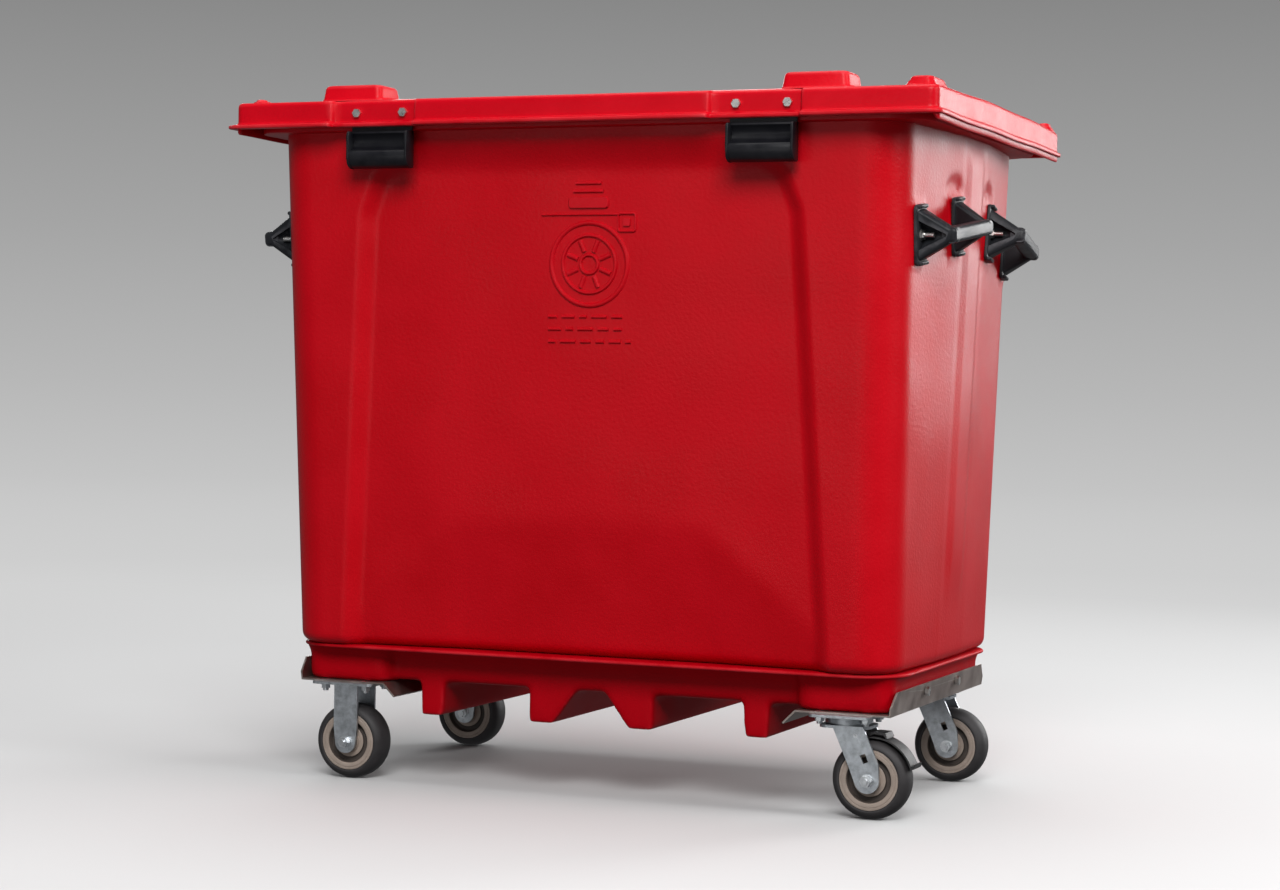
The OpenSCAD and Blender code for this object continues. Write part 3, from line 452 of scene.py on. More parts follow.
def lid_boss(x, y, top_z, base, top, flare, soft):
    """Raised boss that rises out of the lid with a fillet and has a rounded top edge."""
    rings = []
    for grow, rise in ((flare, -3.5), (flare, -0.5), (flare * 0.5, 0.6), (flare * 0.18, 2.0),
                       (0.0, 4.0)):
        half_x, half_y = base[0] + grow, base[1] + grow
        outline = rounded_box(half_x, half_y, min(half_x, half_y, 11.0)) + (x, y)
        rings.append(ring_at(outline, lid_top_z(*outline.T) + rise))
    for a in np.linspace(0, math.pi / 2, 6):
        inset = soft * (1 - math.cos(a))
        half_x, half_y = top[0] - inset, top[1] - inset
        outline = rounded_box(half_x, half_y, min(half_x, half_y, 11.0)) + (x, y)
        rings.append(ring_at(outline, top_z - soft * (1 - math.sin(a))))
    return loft(rings)


def lid_bosses():
    """Two big bosses near the front edge and one small boss in each corner."""
    parts = []
    (x, y, z), base, top = BIG_BOSS
    for side in (-1, 1):
        parts.append(lid_boss(side * x - PAD_SHIFT, y, z, base, top, 3.0, 7.0))
    for (x, y, z), base, top in CORNER_BOSSES:
        parts.append(lid_boss(x, y, z, base, top, 2.5, 5.0))
    return mesh_object("lid_bosses", parts)


# ---------- Raised emblem ----------

EMBLEM_X, EMBLEM_Z = 20.0, 868.0
RELIEF = 1.7


def on_panel(x, z, out):
    """Point on the front panel, raised by out times the relief."""
    y = -at_height(TUB_WIDTH, z) / 2 + float(panel_depth(x, z)) - out * RELIEF
    return (x, y, z)


def ridge_line(path, width, height, closed=False):
    """Raised round-backed line along a path of (x, z) points on the front panel."""
    path = np.array(path, float)
    if closed:
        along = np.roll(path, -1, axis=0) - np.roll(path, 1, axis=0)
    else:
        along = np.gradient(path, axis=0)
    along /= np.linalg.norm(along, axis=1)[:, None]
    across = np.column_stack([-along[:, 1], along[:, 0]]) * width / 2
    section = ((-1.0, -0.8), (-0.8, 0.45 * height), (-0.4, 0.92 * height), (0.0, height),
               (0.4, 0.92 * height), (0.8, 0.45 * height), (1.0, -0.8))
    rings = [[on_panel(*(p + q * s), h) for s, h in section] for p, q in zip(path, across)]
    return loft(rings, closed)


def plaque(outline, height):
    """Raised flat patch with sloping edges."""
    outline = np.array(outline, float)
    centre = outline.mean(axis=0)
    rings = []
    for grow, out in ((1.0, -0.8), (0.97, 0.6 * height), (0.93, height)):
        rings.append([on_panel(*(centre + (p - centre) * grow), out) for p in outline])
    return loft(rings)


def circle_path(x, z, radius, steps=48):
    """Circle of (x, z) points on the front panel."""
    return [(x + radius * math.cos(a), z + radius * math.sin(a))
            for a in np.linspace(0, 2 * math.pi, steps, endpoint=False)]


def emblem():
    """Plain ring emblem, a cap above it, a small square beside it and rows of plain dashes."""
    parts = []
    for radius, width in ((66.0, 9.0), (46.0, 7.0), (15.0, 7.0)):
        parts.append(ridge_line(circle_path(EMBLEM_X, EMBLEM_Z, radius), width, 2.2, True))
    for k in range(8):
        a = math.radians(22.5 + 45 * k)
        path = [(EMBLEM_X + r * math.cos(a), EMBLEM_Z + r * math.sin(a))
                for r in np.linspace(21, 40, 5)]
        parts.append(ridge_line(path, 9.0, 2.2))
    cap = rounded_box(36.0, 9.0, 5.0, 5) + (EMBLEM_X, 966.0)
    parts.append(plaque(cap, 2.2))
    for half, z in ((26.0, 984.0), (22.0, 997.0)):
        parts.append(ridge_line([(EMBLEM_X + s * half, z) for s in np.linspace(-1, 1, 9)], 6, 2.0))
    parts.append(ridge_line([(x, 947.0) for x in np.linspace(-62, 74, 12)], 3.6, 1.8))
    parts.append(ridge_line(rounded_box(15.0, 14.0, 4.0, 5) + (86.0, 934.0), 4.0, 2.0, True))
    parts.append(plaque(rounded_box(6.0, 6.0, 2.0, 4) + (86.0, 934.0), 2.0))
    for row, z in enumerate((784.0, 764.0, 744.0)):
        x = -52.0
        for k, length in enumerate((15, 22, 12, 26, 18, 14, 20)[row:] + (16, 19)[:row]):
            end = min(x + length, 92.0)
            parts.append(ridge_line([(v, z) for v in np.linspace(x, end, 5)], 6.0, 1.8))
            x = end + 9.0
            if x > 84.0:
                break
    return mesh_object("front_emblem", parts)


# ---------- Lid grips ----------

# Section of the scooped grip from its top at the back, down its front and back up, as (y, z)
GRIP_SECTION = [
    (-365.0, 1083.0), (-374.0, 1083.0), (-377.5, 1081.8), (-378.5, 1079.0), (-376.0, 1076.0),
    (-372.8, 1071.5), (-371.4, 1066.0), (-371.8, 1061.0), (-374.0, 1056.6), (-378.2, 1053.2),
    (-383.6, 1051.4), (-387.4, 1049.6), (-389.6, 1046.0), (-390.2, 1041.0), (-389.4, 1035.0),
    (-387.0, 1029.4), (-383.0, 1025.0), (-377.6, 1022.4), (-371.0, 1022.0), (-366.6, 1022.8),
    (-364.6, 1025.0), (-364.6, 1054.0), (-364.6, 1081.5)]
GRIP_SIDE = [(-365.0, 1083.0), (-378.0, 1083.0), (-388.0, 1082.0), (-391.4, 1079.0),
             (-392.0, 1074.0), (-392.0, 1046.0), (-391.6, 1038.0), (-389.6, 1031.0),
             (-385.6, 1025.4), (-379.0, 1022.0), (-371.0, 1021.4), (-366.0, 1022.4),
             (-364.6, 1025.0), (-364.6, 1081.5)]
GRIP_HALF = 55.0


def grip_slab(section, x_low, x_high, soft):
    """Section extruded along X with softened edges."""
    section = np.array(section)
    middle = section.mean(axis=0)
    rings = []
    for x, inset in ((x_low, soft), (x_low + soft * 0.3, soft * 0.3), (x_low + soft, 0),
                     (x_high - soft, 0), (x_high - soft * 0.3, soft * 0.3), (x_high, soft)):
        away = section - middle
        away /= np.linalg.norm(away, axis=1)[:, None]
        rings.append([(x, y, z) for y, z in section - away * inset])
    return loft(rings)


def lid_grip(side):
    """Scooped grip with its two cheeks and the plate that is bolted to the lid's pad."""
    x = side * PAD_X
    parts = [grip_slab(GRIP_SECTION, x - GRIP_HALF + 2, x + GRIP_HALF - 2, 0.1)]
    for end in (-1, 1):
        edge = x + end * (GRIP_HALF - 2.1)
        parts.append(grip_slab(GRIP_SIDE, edge - 2.1, edge + 2.1, 0.9))
    plate = rounded_box(GRIP_HALF, 26.0, 5.0) + (x, 1097.5)
    parts.append(loft([[(px, y, pz) for px, pz in plate] for y in (-371.8, -368.2)]))
    return mesh_object(f"lid_grip_{'left' if side < 0 else 'right'}_visual", parts, 40.0)


# ---------- End handles ----------

def along_x(outline, x):
    """Outline of (y, z) points placed at a distance from the wall."""
    return [(x, y, z) for y, z in outline]


def handle_bracket():
    """Tapered bracket from the flange to the bar, at the handle's +Y end."""
    rings = []
    for t in np.linspace(0, 1, 9):
        x = 2.0 + (HANDLE_OUT - 2.0) * t
        high = HANDLE_HALF - 6.0 - 14.0 * t
        low = HANDLE_HALF - 40.0 - 2.0 * t
        tall = 41.5 - 28.5 * t
        rings.append(along_x(rounded_box((high - low) / 2, tall, 5.0 + 3.0 * t)
                             + ((high + low) / 2, 0.0), x))
    for grow, x in ((1.0, HANDLE_OUT + 4), (0.96, HANDLE_OUT + 8), (0.86, HANDLE_OUT + 10.8),
                    (0.66, HANDLE_OUT + 12.2)):
        last = np.array(rings[8])
        middle = last.mean(axis=0)
        ring = middle + (last - middle) * grow
        ring[:, 0] = x
        rings.append([tuple(p) for p in ring])
    return rings


def cone_cutter():
    """Flattened cone that hollows the outer side of a bracket around its stud."""
    rings = []
    for x, deep, tall in ((4.6, 22.0, 23.0), (8.0, 21.0, 21.5), (16.0, 18.0, 17.0),
                          (26.0, 14.0, 12.0), (36.0, 9.0, 7.0), (43.0, 5.0, 3.5),
                          (46.0, 2.0, 1.5)):
        y = HANDLE_HALF - 6.0 - 14.0 * (x - 2.0) / (HANDLE_OUT - 2.0)
        rings.append([(x, y + deep * math.cos(a), tall * math.sin(a))
                      for a in np.linspace(0, 2 * math.pi, 36, endpoint=False)])
    return rings


def boolean_cut(body, cutter):
    """Mesh of body with cutter taken out; both scratch objects are removed."""
    cut = body.modifiers.new("cut", "BOOLEAN")
    cut.operation, cut.solver, cut.object = "DIFFERENCE", "EXACT", cutter
    bpy.context.view_layer.update()
    result = bpy.data.meshes.new_from_object(body.evaluated_get(
        bpy.context.evaluated_depsgraph_get()))
    points = [tuple(v.co / MM) for v in result.vertices]
    faces = [tuple(f.vertices) for f in result.polygons]
    for item in (body, cutter):
        bpy.data.objects.remove(item)
    bpy.data.meshes.remove(result)
    return [(x, y + MIDDLE_Y, z) for x, y, z in points], faces


def handle_parts():
    """Closed parts of one handle, in its own frame."""
    bracket = boolean_cut(mesh_object("bracket", [loft(handle_bracket())]),
                          mesh_object("cutter", [loft(cone_cutter())]))
    mid = HANDLE_HALF - FLANGE_HALF[0]
    flange = [along_x(rounded_box(FLANGE_HALF[0] - inset, FLANGE_HALF[1] - inset, 9.0 - inset)
                      + (mid, 0.0), x)
              for x, inset in ((0.0, 0.6), (0.6, 0.0), (4.0, 0.0), (4.8, 0.4), (5.2, 1.4))]
    parts = [bracket, loft(flange)]
    for up in (-1, 1):
        hook = [along_x(rounded_box(15.0 - inset, 3.2 - inset, 2.4) + (mid, up * 44.0), x)
                for x, inset in ((3.0, 0.0), (8.6, 0.0), (10.2, 0.5), (11.0, 1.6))]
        parts.append(loft(hook))
    parts = parts + [([(x, -y, z) for x, y, z in points], faces) for points, faces in parts]
    section = rounded_box(BAR_HALF, BAR_HALF, BAR_CORNER, 8)
    parts.append(loft([[(HANDLE_OUT + x, y, z) for x, z in section]
                       for y in np.linspace(-mid, mid, 5)]))
    return parts


def end_handles():
    """(CAD node, object) pairs of the four handles."""
    turn, origin = handle_frame()
    shapes = handle_parts()
    for end, sx in (("left", -1), ("right", 1)):
        for depth, sy in (("front", -1), ("back", 1)):
            placed = [((np.array(points) @ turn.T + origin) * (sx, sy, 1), faces)
                      for points, faces in shapes]
            yield f"handle_{end}_{depth}", mesh_object(f"handle_{end}_{depth}_visual", placed)


# ---------- Wheels ----------

def lathe(name, profile, x, y, segments=96):
    """Closed revolved shape around a wheel's axle; the profile holds (radius, offset) points."""
    rings = []
    for a in np.linspace(0, 2 * math.pi, segments, endpoint=False):
        rings.append([(x + r * math.cos(a), y + offset, WHEEL_R + r * math.sin(a))
                      for r, offset in profile])
    return mesh_object(name, [loft(rings, closed=True)], 30.0)


def mirrored(half):
    """Full profile from the half on the +Y side, which runs from the bore outwards."""
    return half + [(r, -y) for r, y in reversed(half)]


CORE_HALF = [(6.42, 28.3), (16.2, 28.5), (17.4, 28.0), (18.6, 25.6), (19.6, 19.5), (20.4, 18.8),
             (25.6, 18.6), (26.6, 18.0), (27.6, 14.4), (29.0, 13.6), (33.6, 13.6), (34.6, 14.4),
             (36.6, 22.6), (37.6, 23.8), (39.0, 24.2), (43.0, 24.3), (43.6, 23.7), (44.4, 23.7),
             (45.0, 24.2), (47.6, 24.0), (48.25, 23.4)]
# The darker groove of the core's face lies between two radii, and its bore inside a third
GROOVE_R, BORE_R = (26.4, 36.8), 19.0
TYRE_HALF = [(48.3, 22.6), (49.0, 24.4), (50.4, 24.9), (52.0, 24.7), (54.4, 23.8), (57.0, 22.0),
             (59.2, 19.6), (61.0, 16.6), (62.4, 12.6), (63.2, 8.0), (63.45, 4.0), (63.5, 1.0)]


# ---------- Materials ----------

def node(tree, kind, **values):
    """New shader node whose inputs or settings get these values."""
    item = tree.nodes.new(kind)
    for key, value in values.items():
        if key in item.inputs:
            item.inputs[key].default_value = value
        else:
            setattr(item, key, value)
    return item


def surface(name, colour, dark, rough, *, grain, cloud, metal=0.0, wear_and_highlight=None, wear_and_highlight_amount=0.5,
            specular=0.4, brushed=None, ripple=0.0):
    """Procedural finish: grain is (size in metres, strength), cloud the size of the slow mottling,
    wear_and_highlight the colour of pointed edges, which is wear and, on the lid, a painted
    highlight along the lip, brushed the axis along which scratches run and ripple the height in
    metres of slow waves in the wall."""
    item = bpy.data.materials.new(name)
    item.use_nodes = True
    tree = item.node_tree
    tree.nodes.clear()
    link = tree.links.new
    out = tree.nodes.new("ShaderNodeOutputMaterial")
    shader = node(tree, "ShaderNodeBsdfPrincipled", Metallic=metal)
    shader.inputs["Specular IOR Level"].default_value = specular
    link(shader.outputs[0], out.inputs[0])
    where = tree.nodes.new("ShaderNodeTexCoord")
    place = tree.nodes.new("ShaderNodeMapping")
    link(where.outputs["Object"], place.inputs["Vector"])
    if brushed is not None:
        place.inputs["Scale"].default_value = [0.04 if k == brushed else 1.0 for k in range(3)]
    slow = node(tree, "ShaderNodeTexNoise", Scale=1.0 / cloud, Detail=4.0, Roughness=0.6)
    fine = node(tree, "ShaderNodeTexNoise", Scale=0.5 / grain[0], Detail=3.0, Roughness=0.55)
    link(where.outputs["Object"], slow.inputs["Vector"])
    link(place.outputs[0], fine.inputs["Vector"])
    tone = node(tree, "ShaderNodeMapRange")
    tone.inputs["From Min"].default_value = 0.3
    tone.inputs["From Max"].default_value = 0.7
    link(slow.outputs["Fac"], tone.inputs["Value"])
    speck = node(tree, "ShaderNodeMath", operation="MULTIPLY_ADD")
    speck.inputs[1].default_value = 0.35
    link(fine.outputs["Fac"], speck.inputs[0])
    link(tone.outputs[0], speck.inputs[2])
    mix = node(tree, "ShaderNodeMix", data_type="RGBA")
    mix.inputs[6].default_value = (*dark, 1.0)
    mix.inputs[7].default_value = (*colour, 1.0)
    link(speck.outputs[0], mix.inputs["Factor"])
    last = mix.outputs[2]
    # Edges are lighter by their pointiness: worn edges and, on the lid, a painted highlight
    if wear_and_highlight is not None:
        shape = tree.nodes.new("ShaderNodeNewGeometry")
        edge = node(tree, "ShaderNodeMapRange")
        edge.inputs["From Min"].default_value = 0.52
        edge.inputs["From Max"].default_value = 0.60
        edge.inputs["To Max"].default_value = wear_and_highlight_amount
        link(shape.outputs["Pointiness"], edge.inputs["Value"])
        broken = node(tree, "ShaderNodeMath", operation="MULTIPLY")
        link(edge.outputs[0], broken.inputs[0])
        link(tone.outputs[0], broken.inputs[1])
        edge_wear_and_highlight = node(tree, "ShaderNodeMix", data_type="RGBA")
        link(broken.outputs[0], edge_wear_and_highlight.inputs["Factor"])
        link(last, edge_wear_and_highlight.inputs[6])
        edge_wear_and_highlight.inputs[7].default_value = (*wear_and_highlight, 1.0)
        last = edge_wear_and_highlight.outputs[2]
    link(last, shader.inputs["Base Color"])
    gloss = node(tree, "ShaderNodeMapRange")
    gloss.inputs["From Min"].default_value = 0.25
    gloss.inputs["From Max"].default_value = 0.75
    gloss.inputs["To Min"].default_value = rough - 0.07
    gloss.inputs["To Max"].default_value = rough + 0.07
    link(slow.outputs["Fac"], gloss.inputs["Value"])
    link(gloss.outputs[0], shader.inputs["Roughness"])
    bump = node(tree, "ShaderNodeBump", Strength=grain[1], Distance=grain[0] * 0.4)
    link(fine.outputs["Fac"], bump.inputs["Height"])
    if ripple:
        broad = node(tree, "ShaderNodeTexNoise", Scale=0.9 / cloud, Detail=0.0)
        link(where.outputs["Object"], broad.inputs["Vector"])
        waves = node(tree, "ShaderNodeBump", Strength=1.0, Distance=ripple)
        link(broad.outputs["Fac"], waves.inputs["Height"])
        link(waves.outputs[0], bump.inputs["Normal"])
    link(bump.outputs[0], shader.inputs["Normal"])
    return item


RED = surface("red_shell", (0.49, 0.0, 0.006), (0.43, 0.0, 0.004), 0.40, grain=(0.0026, 0.45),
              cloud=0.15, wear_and_highlight=(0.70, 0.03, 0.05), wear_and_highlight_amount=0.3, specular=0.16,
              ripple=0.006)
# The lid's pale pink edge colour at half strength is a painted highlight along its lip and edges
RED_LID = surface("red_lid", (0.53, 0.0, 0.008), (0.47, 0.0, 0.006), 0.36, grain=(0.0026, 0.4),
                  cloud=0.09, wear_and_highlight=(0.86, 0.18, 0.20), wear_and_highlight_amount=0.5, specular=0.14,
                  ripple=0.002)
RED_BASE = surface("red_base", (0.40, 0.0, 0.005), (0.34, 0.0, 0.004), 0.45, grain=(0.0015, 0.6),
                   cloud=0.09, wear_and_highlight=(0.80, 0.07, 0.09), wear_and_highlight_amount=0.55, specular=0.06)
BLACK = surface("black_grip", (0.006, 0.006, 0.008), (0.003, 0.003, 0.005), 0.40,
                grain=(0.0009, 0.35), cloud=0.03, wear_and_highlight=(0.035, 0.035, 0.04), specular=0.22)
HINGE = surface("black_hinge", (0.014, 0.014, 0.016), (0.008, 0.008, 0.010), 0.5,
                grain=(0.0008, 0.4), cloud=0.03, wear_and_highlight=(0.06, 0.06, 0.06))
HANDLE = surface("grey_handle", (0.019, 0.020, 0.023), (0.011, 0.012, 0.014), 0.36,
                 grain=(0.0009, 0.4), cloud=0.03, wear_and_highlight=(0.13, 0.13, 0.14), specular=0.14)
SHEET = surface("stainless_sheet", (0.36, 0.29, 0.265), (0.25, 0.20, 0.18), 0.46, metal=1.0,
                grain=(0.0006, 0.3), cloud=0.04, wear_and_highlight=(0.62, 0.59, 0.56), wear_and_highlight_amount=0.9,
                brushed=1)
HARDWARE = surface("stainless_hardware", (0.78, 0.76, 0.73), (0.58, 0.56, 0.54), 0.30, metal=1.0,
                   grain=(0.0006, 0.03), cloud=0.01)
BEARING = surface("bearing_steel", (0.55, 0.55, 0.56), (0.42, 0.42, 0.44), 0.24, metal=1.0,
                  grain=(0.0006, 0.03), cloud=0.01)
ZINC = surface("zinc_steel", (0.58, 0.61, 0.64), (0.33, 0.35, 0.37), 0.40, metal=1.0,
               grain=(0.0009, 0.4), cloud=0.012, wear_and_highlight=(0.72, 0.75, 0.78), wear_and_highlight_amount=0.8)
NUTS = surface("zinc_fasteners", (0.78, 0.80, 0.82), (0.55, 0.57, 0.59), 0.32, metal=1.0,
               grain=(0.0006, 0.03), cloud=0.006)
BRAKE = surface("brake_steel", (0.085, 0.083, 0.083), (0.045, 0.044, 0.044), 0.55, metal=1.0,
                grain=(0.0009, 0.4), cloud=0.01, wear_and_highlight=(0.30, 0.30, 0.31), wear_and_highlight_amount=0.6)
TAN = surface("wheel_core", (0.34, 0.27, 0.225), (0.26, 0.21, 0.175), 0.55, grain=(0.0006, 0.3),
              cloud=0.02, wear_and_highlight=(0.5, 0.43, 0.38))
GROOVE = surface("wheel_groove", (0.075, 0.058, 0.049), (0.045, 0.036, 0.031), 0.65,
                 grain=(0.0006, 0.3), cloud=0.012)
TYRE = surface("tyre", (0.030, 0.027, 0.028), (0.018, 0.016, 0.017), 0.6, grain=(0.0008, 0.4),
               cloud=0.025, wear_and_highlight=(0.09, 0.085, 0.085))

FINISH = {"red_shell": RED_BASE, "black_grip": BLACK, "black_hinge": HINGE, "grey_handle": HANDLE,
          "stainless_sheet": SHEET, "stainless_hardware": HARDWARE, "bearing_steel": BEARING,
          "zinc_steel": ZINC, "wheel_core": TAN, "tyre": TYRE}


def paint(item, material):
    """Gives the object this one material."""
    item.data.materials.clear()
    item.data.materials.append(material)


# ---------- The piece list ----------

def dress_node(item, material, bevel):
    """Finish of a CAD node: its mesh is welded, and its edges are rounded or, without a bevel,
    kept sharp."""
    paint(item, material)
    for attribute in [a for a in item.data.attributes if a.name == "custom_normal"]:
        item.data.attributes.remove(attribute)
    item.data.polygons.foreach_set("material_index", np.zeros(len(item.data.polygons), int))
    item.data.shade_smooth()
    weld = item.modifiers.new("weld", "WELD")
    weld.merge_threshold = 0.00002
    if not bevel:
        sharp = item.modifiers.new("sharp", "EDGE_SPLIT")
        sharp.split_angle = math.radians(28)
        return
    flat = item.modifiers.new("flat", "DECIMATE")
    flat.decimate_type = "DISSOLVE"
    flat.angle_limit = math.radians(1.0)
    edges = item.modifiers.new("edges", "BEVEL")
    edges.width = bevel
    edges.segments = 3
    edges.limit_method = "ANGLE"
    edges.angle_limit = math.radians(28)
    edges.use_clamp_overlap = True
    item.modifiers.new("normals", "WEIGHTED_NORMAL")


BEVELS = {"hinge_strap": 0.0012, "hinge_arm": 0.0012, "caster_channel": 0.0006,
          "rigid_fork": 0.0008, "swivel_fork": 0.0008, "swivel_plate": 0.0008,
          "brake_lever": 0.0005}
FASTENERS = ("bolt", "nut", "stud", "pin", "ball", "bushing")

for name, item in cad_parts.items():
    slot = item.data.materials[0].name if item.data.materials else ""
    finish = next((m for key, m in FINISH.items() if slot.startswith(key)), ZINC)
    small = any(word in name for word in FASTENERS)
    if small and finish is ZINC:
        finish = NUTS
    elif name == "brake_lever":
        finish = BRAKE
    kind = next((k for k in BEVELS if name.startswith(k)), None)
    dress_node(item, finish, 0.0 if small else BEVELS.get(kind, 0.0))

tub = tub_shell()
paint(tub, RED)
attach(tub, "cart")
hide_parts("tub")

bottom = base_shell()
paint(bottom, RED_BASE)
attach(bottom, "cart")
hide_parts("base")

ledge = base_ledge()
paint(ledge, RED_BASE)
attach(ledge, "cart")

badge = emblem()
paint(badge, RED)
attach(badge, "cart")

lid = lid_shell()
paint(lid, RED_LID)
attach(lid, "lid")
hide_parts("lid")

bosses = lid_bosses()
paint(bosses, RED_LID)
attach(bosses, "lid")

for side, name in ((-1, "lid_grip_left"), (1, "lid_grip_right")):
    grip = lid_grip(side)
    paint(grip, BLACK)
    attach(grip, "lid")
    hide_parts(name)

for name, handle in end_handles():
    paint(handle, HANDLE)
    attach(handle, "cart")
    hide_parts(name)

for end, x in zip(("left", "right"), AXLE_X):
    for depth, y in (("front", -AXLE_Y), ("back", AXLE_Y)):
        core = lathe(f"wheel_core_{end}_{depth}_visual", mirrored(CORE_HALF), x, y)
        core.data.materials.append(TAN)
        core.data.materials.append(GROOVE)
        axle = Vector((x * MM, 0, WHEEL_R * MM))
        for face in core.data.polygons:
            radius = math.hypot(face.center.x - axle.x, face.center.z - axle.z) / MM
            dark = GROOVE_R[0] < radius < GROOVE_R[1] or radius < BORE_R
            face.material_index = 1 if dark else 0
        tyre = lathe(f"tyre_{end}_{depth}_visual", mirrored(TYRE_HALF), x, y)
        paint(tyre, TYRE)
        for item, replaced in ((core, "wheel_core"), (tyre, "tyre")):
            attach(item, f"wheel_{end}_{depth}")
            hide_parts(f"{replaced}_{end}_{depth}")


# ---------- Camera ----------

CAMERA_AT = (1.711085, -4.238992, 0.673337)
YAW, PITCH, ROLL = 0.3888, 0.022, 0.0172
LENS, SENSOR_WIDTH = 74.57, 36.0

forward = Vector((-math.sin(YAW) * math.cos(PITCH), math.cos(YAW) * math.cos(PITCH),
                  -math.sin(PITCH)))
right = forward.cross(Vector((0, 0, 1))).normalized()
up = right.cross(forward)
turned = math.cos(ROLL) * right + math.sin(ROLL) * up
upright = math.cos(ROLL) * up - math.sin(ROLL) * right
camera_data = bpy.data.cameras.new("camera")
camera_data.lens = LENS
camera_data.sensor_width = SENSOR_WIDTH
camera = bpy.data.objects.new("camera", camera_data)
camera.matrix_world = Matrix.Translation(CAMERA_AT) @ Matrix(
    (turned, upright, -forward)).transposed().to_4x4()
bpy.context.scene.collection.objects.link(camera)
bpy.context.scene.camera = camera


# ---------- Stage and light ----------

FLOOR_ALBEDO = 0.57


def stage_mesh(name, rings, segments=96):
    """Revolved sheet around the vertical through the origin, from (radius, height) in metres."""
    points, faces = [], []
    for radius, height in rings:
        for a in np.linspace(0, 2 * math.pi, segments, endpoint=False):
            points.append((radius * math.cos(a), radius * math.sin(a), height))
    for k in range(len(rings) - 1):
        for i in range(segments):
            j = (i + 1) % segments
            faces.append((k * segments + i, k * segments + j, (k + 1) * segments + j,
                          (k + 1) * segments + i))
    if rings[0][0] < 1.0:
        faces.append(tuple(range(segments)))
    mesh = bpy.data.meshes.new(name)
    mesh.from_pydata(points, [], faces)
    item = bpy.data.objects.new(name, mesh)
    bpy.context.scene.collection.objects.link(item)
    return item


def grey_ramp(tree, source, stops):
    """Grey that follows source through (value, grey) stops."""
    low, high = stops[0][0], stops[-1][0]
    span = node(tree, "ShaderNodeMapRange")
    span.inputs["From Min"].default_value = low
    span.inputs["From Max"].default_value = high
    tree.links.new(source, span.inputs["Value"])
    ramp = tree.nodes.new("ShaderNodeValToRGB")
    while len(ramp.color_ramp.elements) < len(stops):
        ramp.color_ramp.elements.new(0.5)
    for element, (at, grey) in zip(ramp.color_ramp.elements, stops):
        element.position = (at - low) / (high - low)
        element.color = (grey, grey, grey, 1.0)
    tree.links.new(span.outputs[0], ramp.inputs[0])
    return ramp.outputs[0]


def stage_material(name, stops, near=None):
    """Glowing grey that follows the stops by height or, given near as (inner radius, outer radius,
    albedo), by distance from the middle. This is painted light: brightest near the middle of the
    floor and low on the backdrop. Around the middle a matt patch takes the shadows and fades into
    the grey."""
    item = bpy.data.materials.new(name)
    item.use_nodes = True
    tree = item.node_tree
    tree.nodes.clear()
    out = tree.nodes.new("ShaderNodeOutputMaterial")
    painted_glow = tree.nodes.new("ShaderNodeEmission")
    where = tree.nodes.new("ShaderNodeTexCoord")
    split = tree.nodes.new("ShaderNodeSeparateXYZ")
    length = node(tree, "ShaderNodeVectorMath", operation="LENGTH")
    tree.links.new(where.outputs["Object"], split.inputs[0])
    tree.links.new(where.outputs["Object"], length.inputs[0])
    source = split.outputs["Z"] if near is None else length.outputs["Value"]
    tree.links.new(grey_ramp(tree, source, stops), painted_glow.inputs["Color"])
    last = painted_glow.outputs[0]
    if near is not None:
        matt = tree.nodes.new("ShaderNodeBsdfDiffuse")
        matt.inputs["Color"].default_value = (near[2], near[2], near[2], 1.0)
        blend = tree.nodes.new("ShaderNodeMixShader")
        tree.links.new(grey_ramp(tree, length.outputs["Value"], [(near[0], 0), (near[1], 1)]),
                       blend.inputs["Fac"])
        tree.links.new(matt.outputs[0], blend.inputs[1])
        tree.links.new(last, blend.inputs[2])
        last = blend.outputs[0]
    tree.links.new(last, out.inputs[0])
    return item


FLOOR_R = 14.0
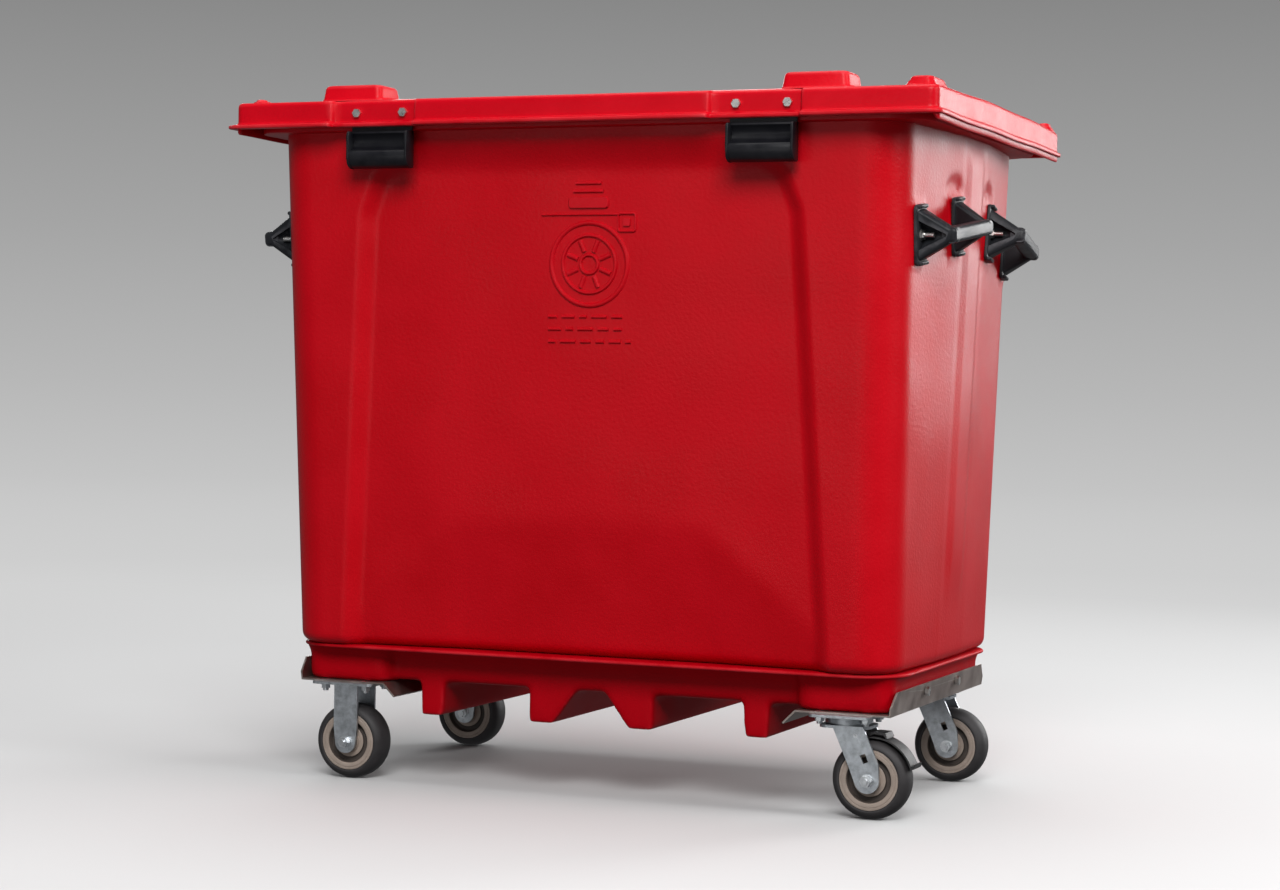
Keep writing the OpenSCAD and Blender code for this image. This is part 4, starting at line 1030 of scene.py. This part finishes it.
# Beyond its matt middle the floor glows, brighter towards the cart, and the backdrop glows darker
# upwards: a painted pool of light and a painted fall-off of light
floor = stage_mesh("floor", [(0.5, 0.0), (4.0, 0.0), (FLOOR_R, 0.0)])
paint(floor, stage_material("floor", [(0.0, 0.84), (1.0, 0.82), (2.5, 0.69), (5.7, 0.617),
                                      (FLOOR_R, 0.552)], near=(1.3, 4.5, FLOOR_ALBEDO)))
wall = stage_mesh("backdrop", [(FLOOR_R, 0.0), (FLOOR_R, 2.0), (FLOOR_R, 9.0)])
paint(wall, stage_material("backdrop", [(0.0, 0.552), (0.67, 0.474), (1.7, 0.376), (3.37, 0.246),
                                        (9.0, 0.2)]))
for item in (floor, wall):
    item.visible_diffuse = False
    item.visible_glossy = False
wall.visible_shadow = False

world = bpy.data.worlds.new("world")
world.use_nodes = True
sky = world.node_tree.nodes["Background"].inputs
sky["Color"].default_value = (0.95, 0.97, 1.0, 1.0)
sky["Strength"].default_value = 0.16
bpy.context.scene.world = world


def lamp(name, at, target, size, power):
    """Rectangular lamp of the given size in metres and power in watts, turned to its target."""
    data = bpy.data.lights.new(name, "AREA")
    data.shape = "RECTANGLE"
    data.size, data.size_y = size
    data.energy = power
    item = bpy.data.objects.new(name, data)
    item.location = at
    item.rotation_mode = "QUATERNION"
    item.rotation_quaternion = (Vector(target) - Vector(at)).to_track_quat("-Z", "Y")
    item.visible_camera = False
    bpy.context.scene.collection.objects.link(item)


lamp("key", (1.9, -4.6, 4.1), (0, 0, 0.8), (3.0, 2.4), 322.0)
lamp("fill", (-0.6, -5.6, 0.6), (0, 0, 0.2), (3.0, 0.6), 26.0)
lamp("top", (0.0, 0.3, 5.0), (0, 0, 0), (4.0, 4.0), 150.0)
lamp("side", (5.2, -0.6, 3.0), (0.5, 0, 0.7), (2.4, 2.4), 155.0)
lamp("right_back", (2.7, 4.5, 1.9), (0.5, 0, 0.9), (1.8, 2.4), 125.0)
lamp("back", (-2.6, 5.6, 2.4), (0, 0, 1.0), (4.0, 1.6), 130.0)

bpy.context.scene.view_settings.view_transform = "Standard"
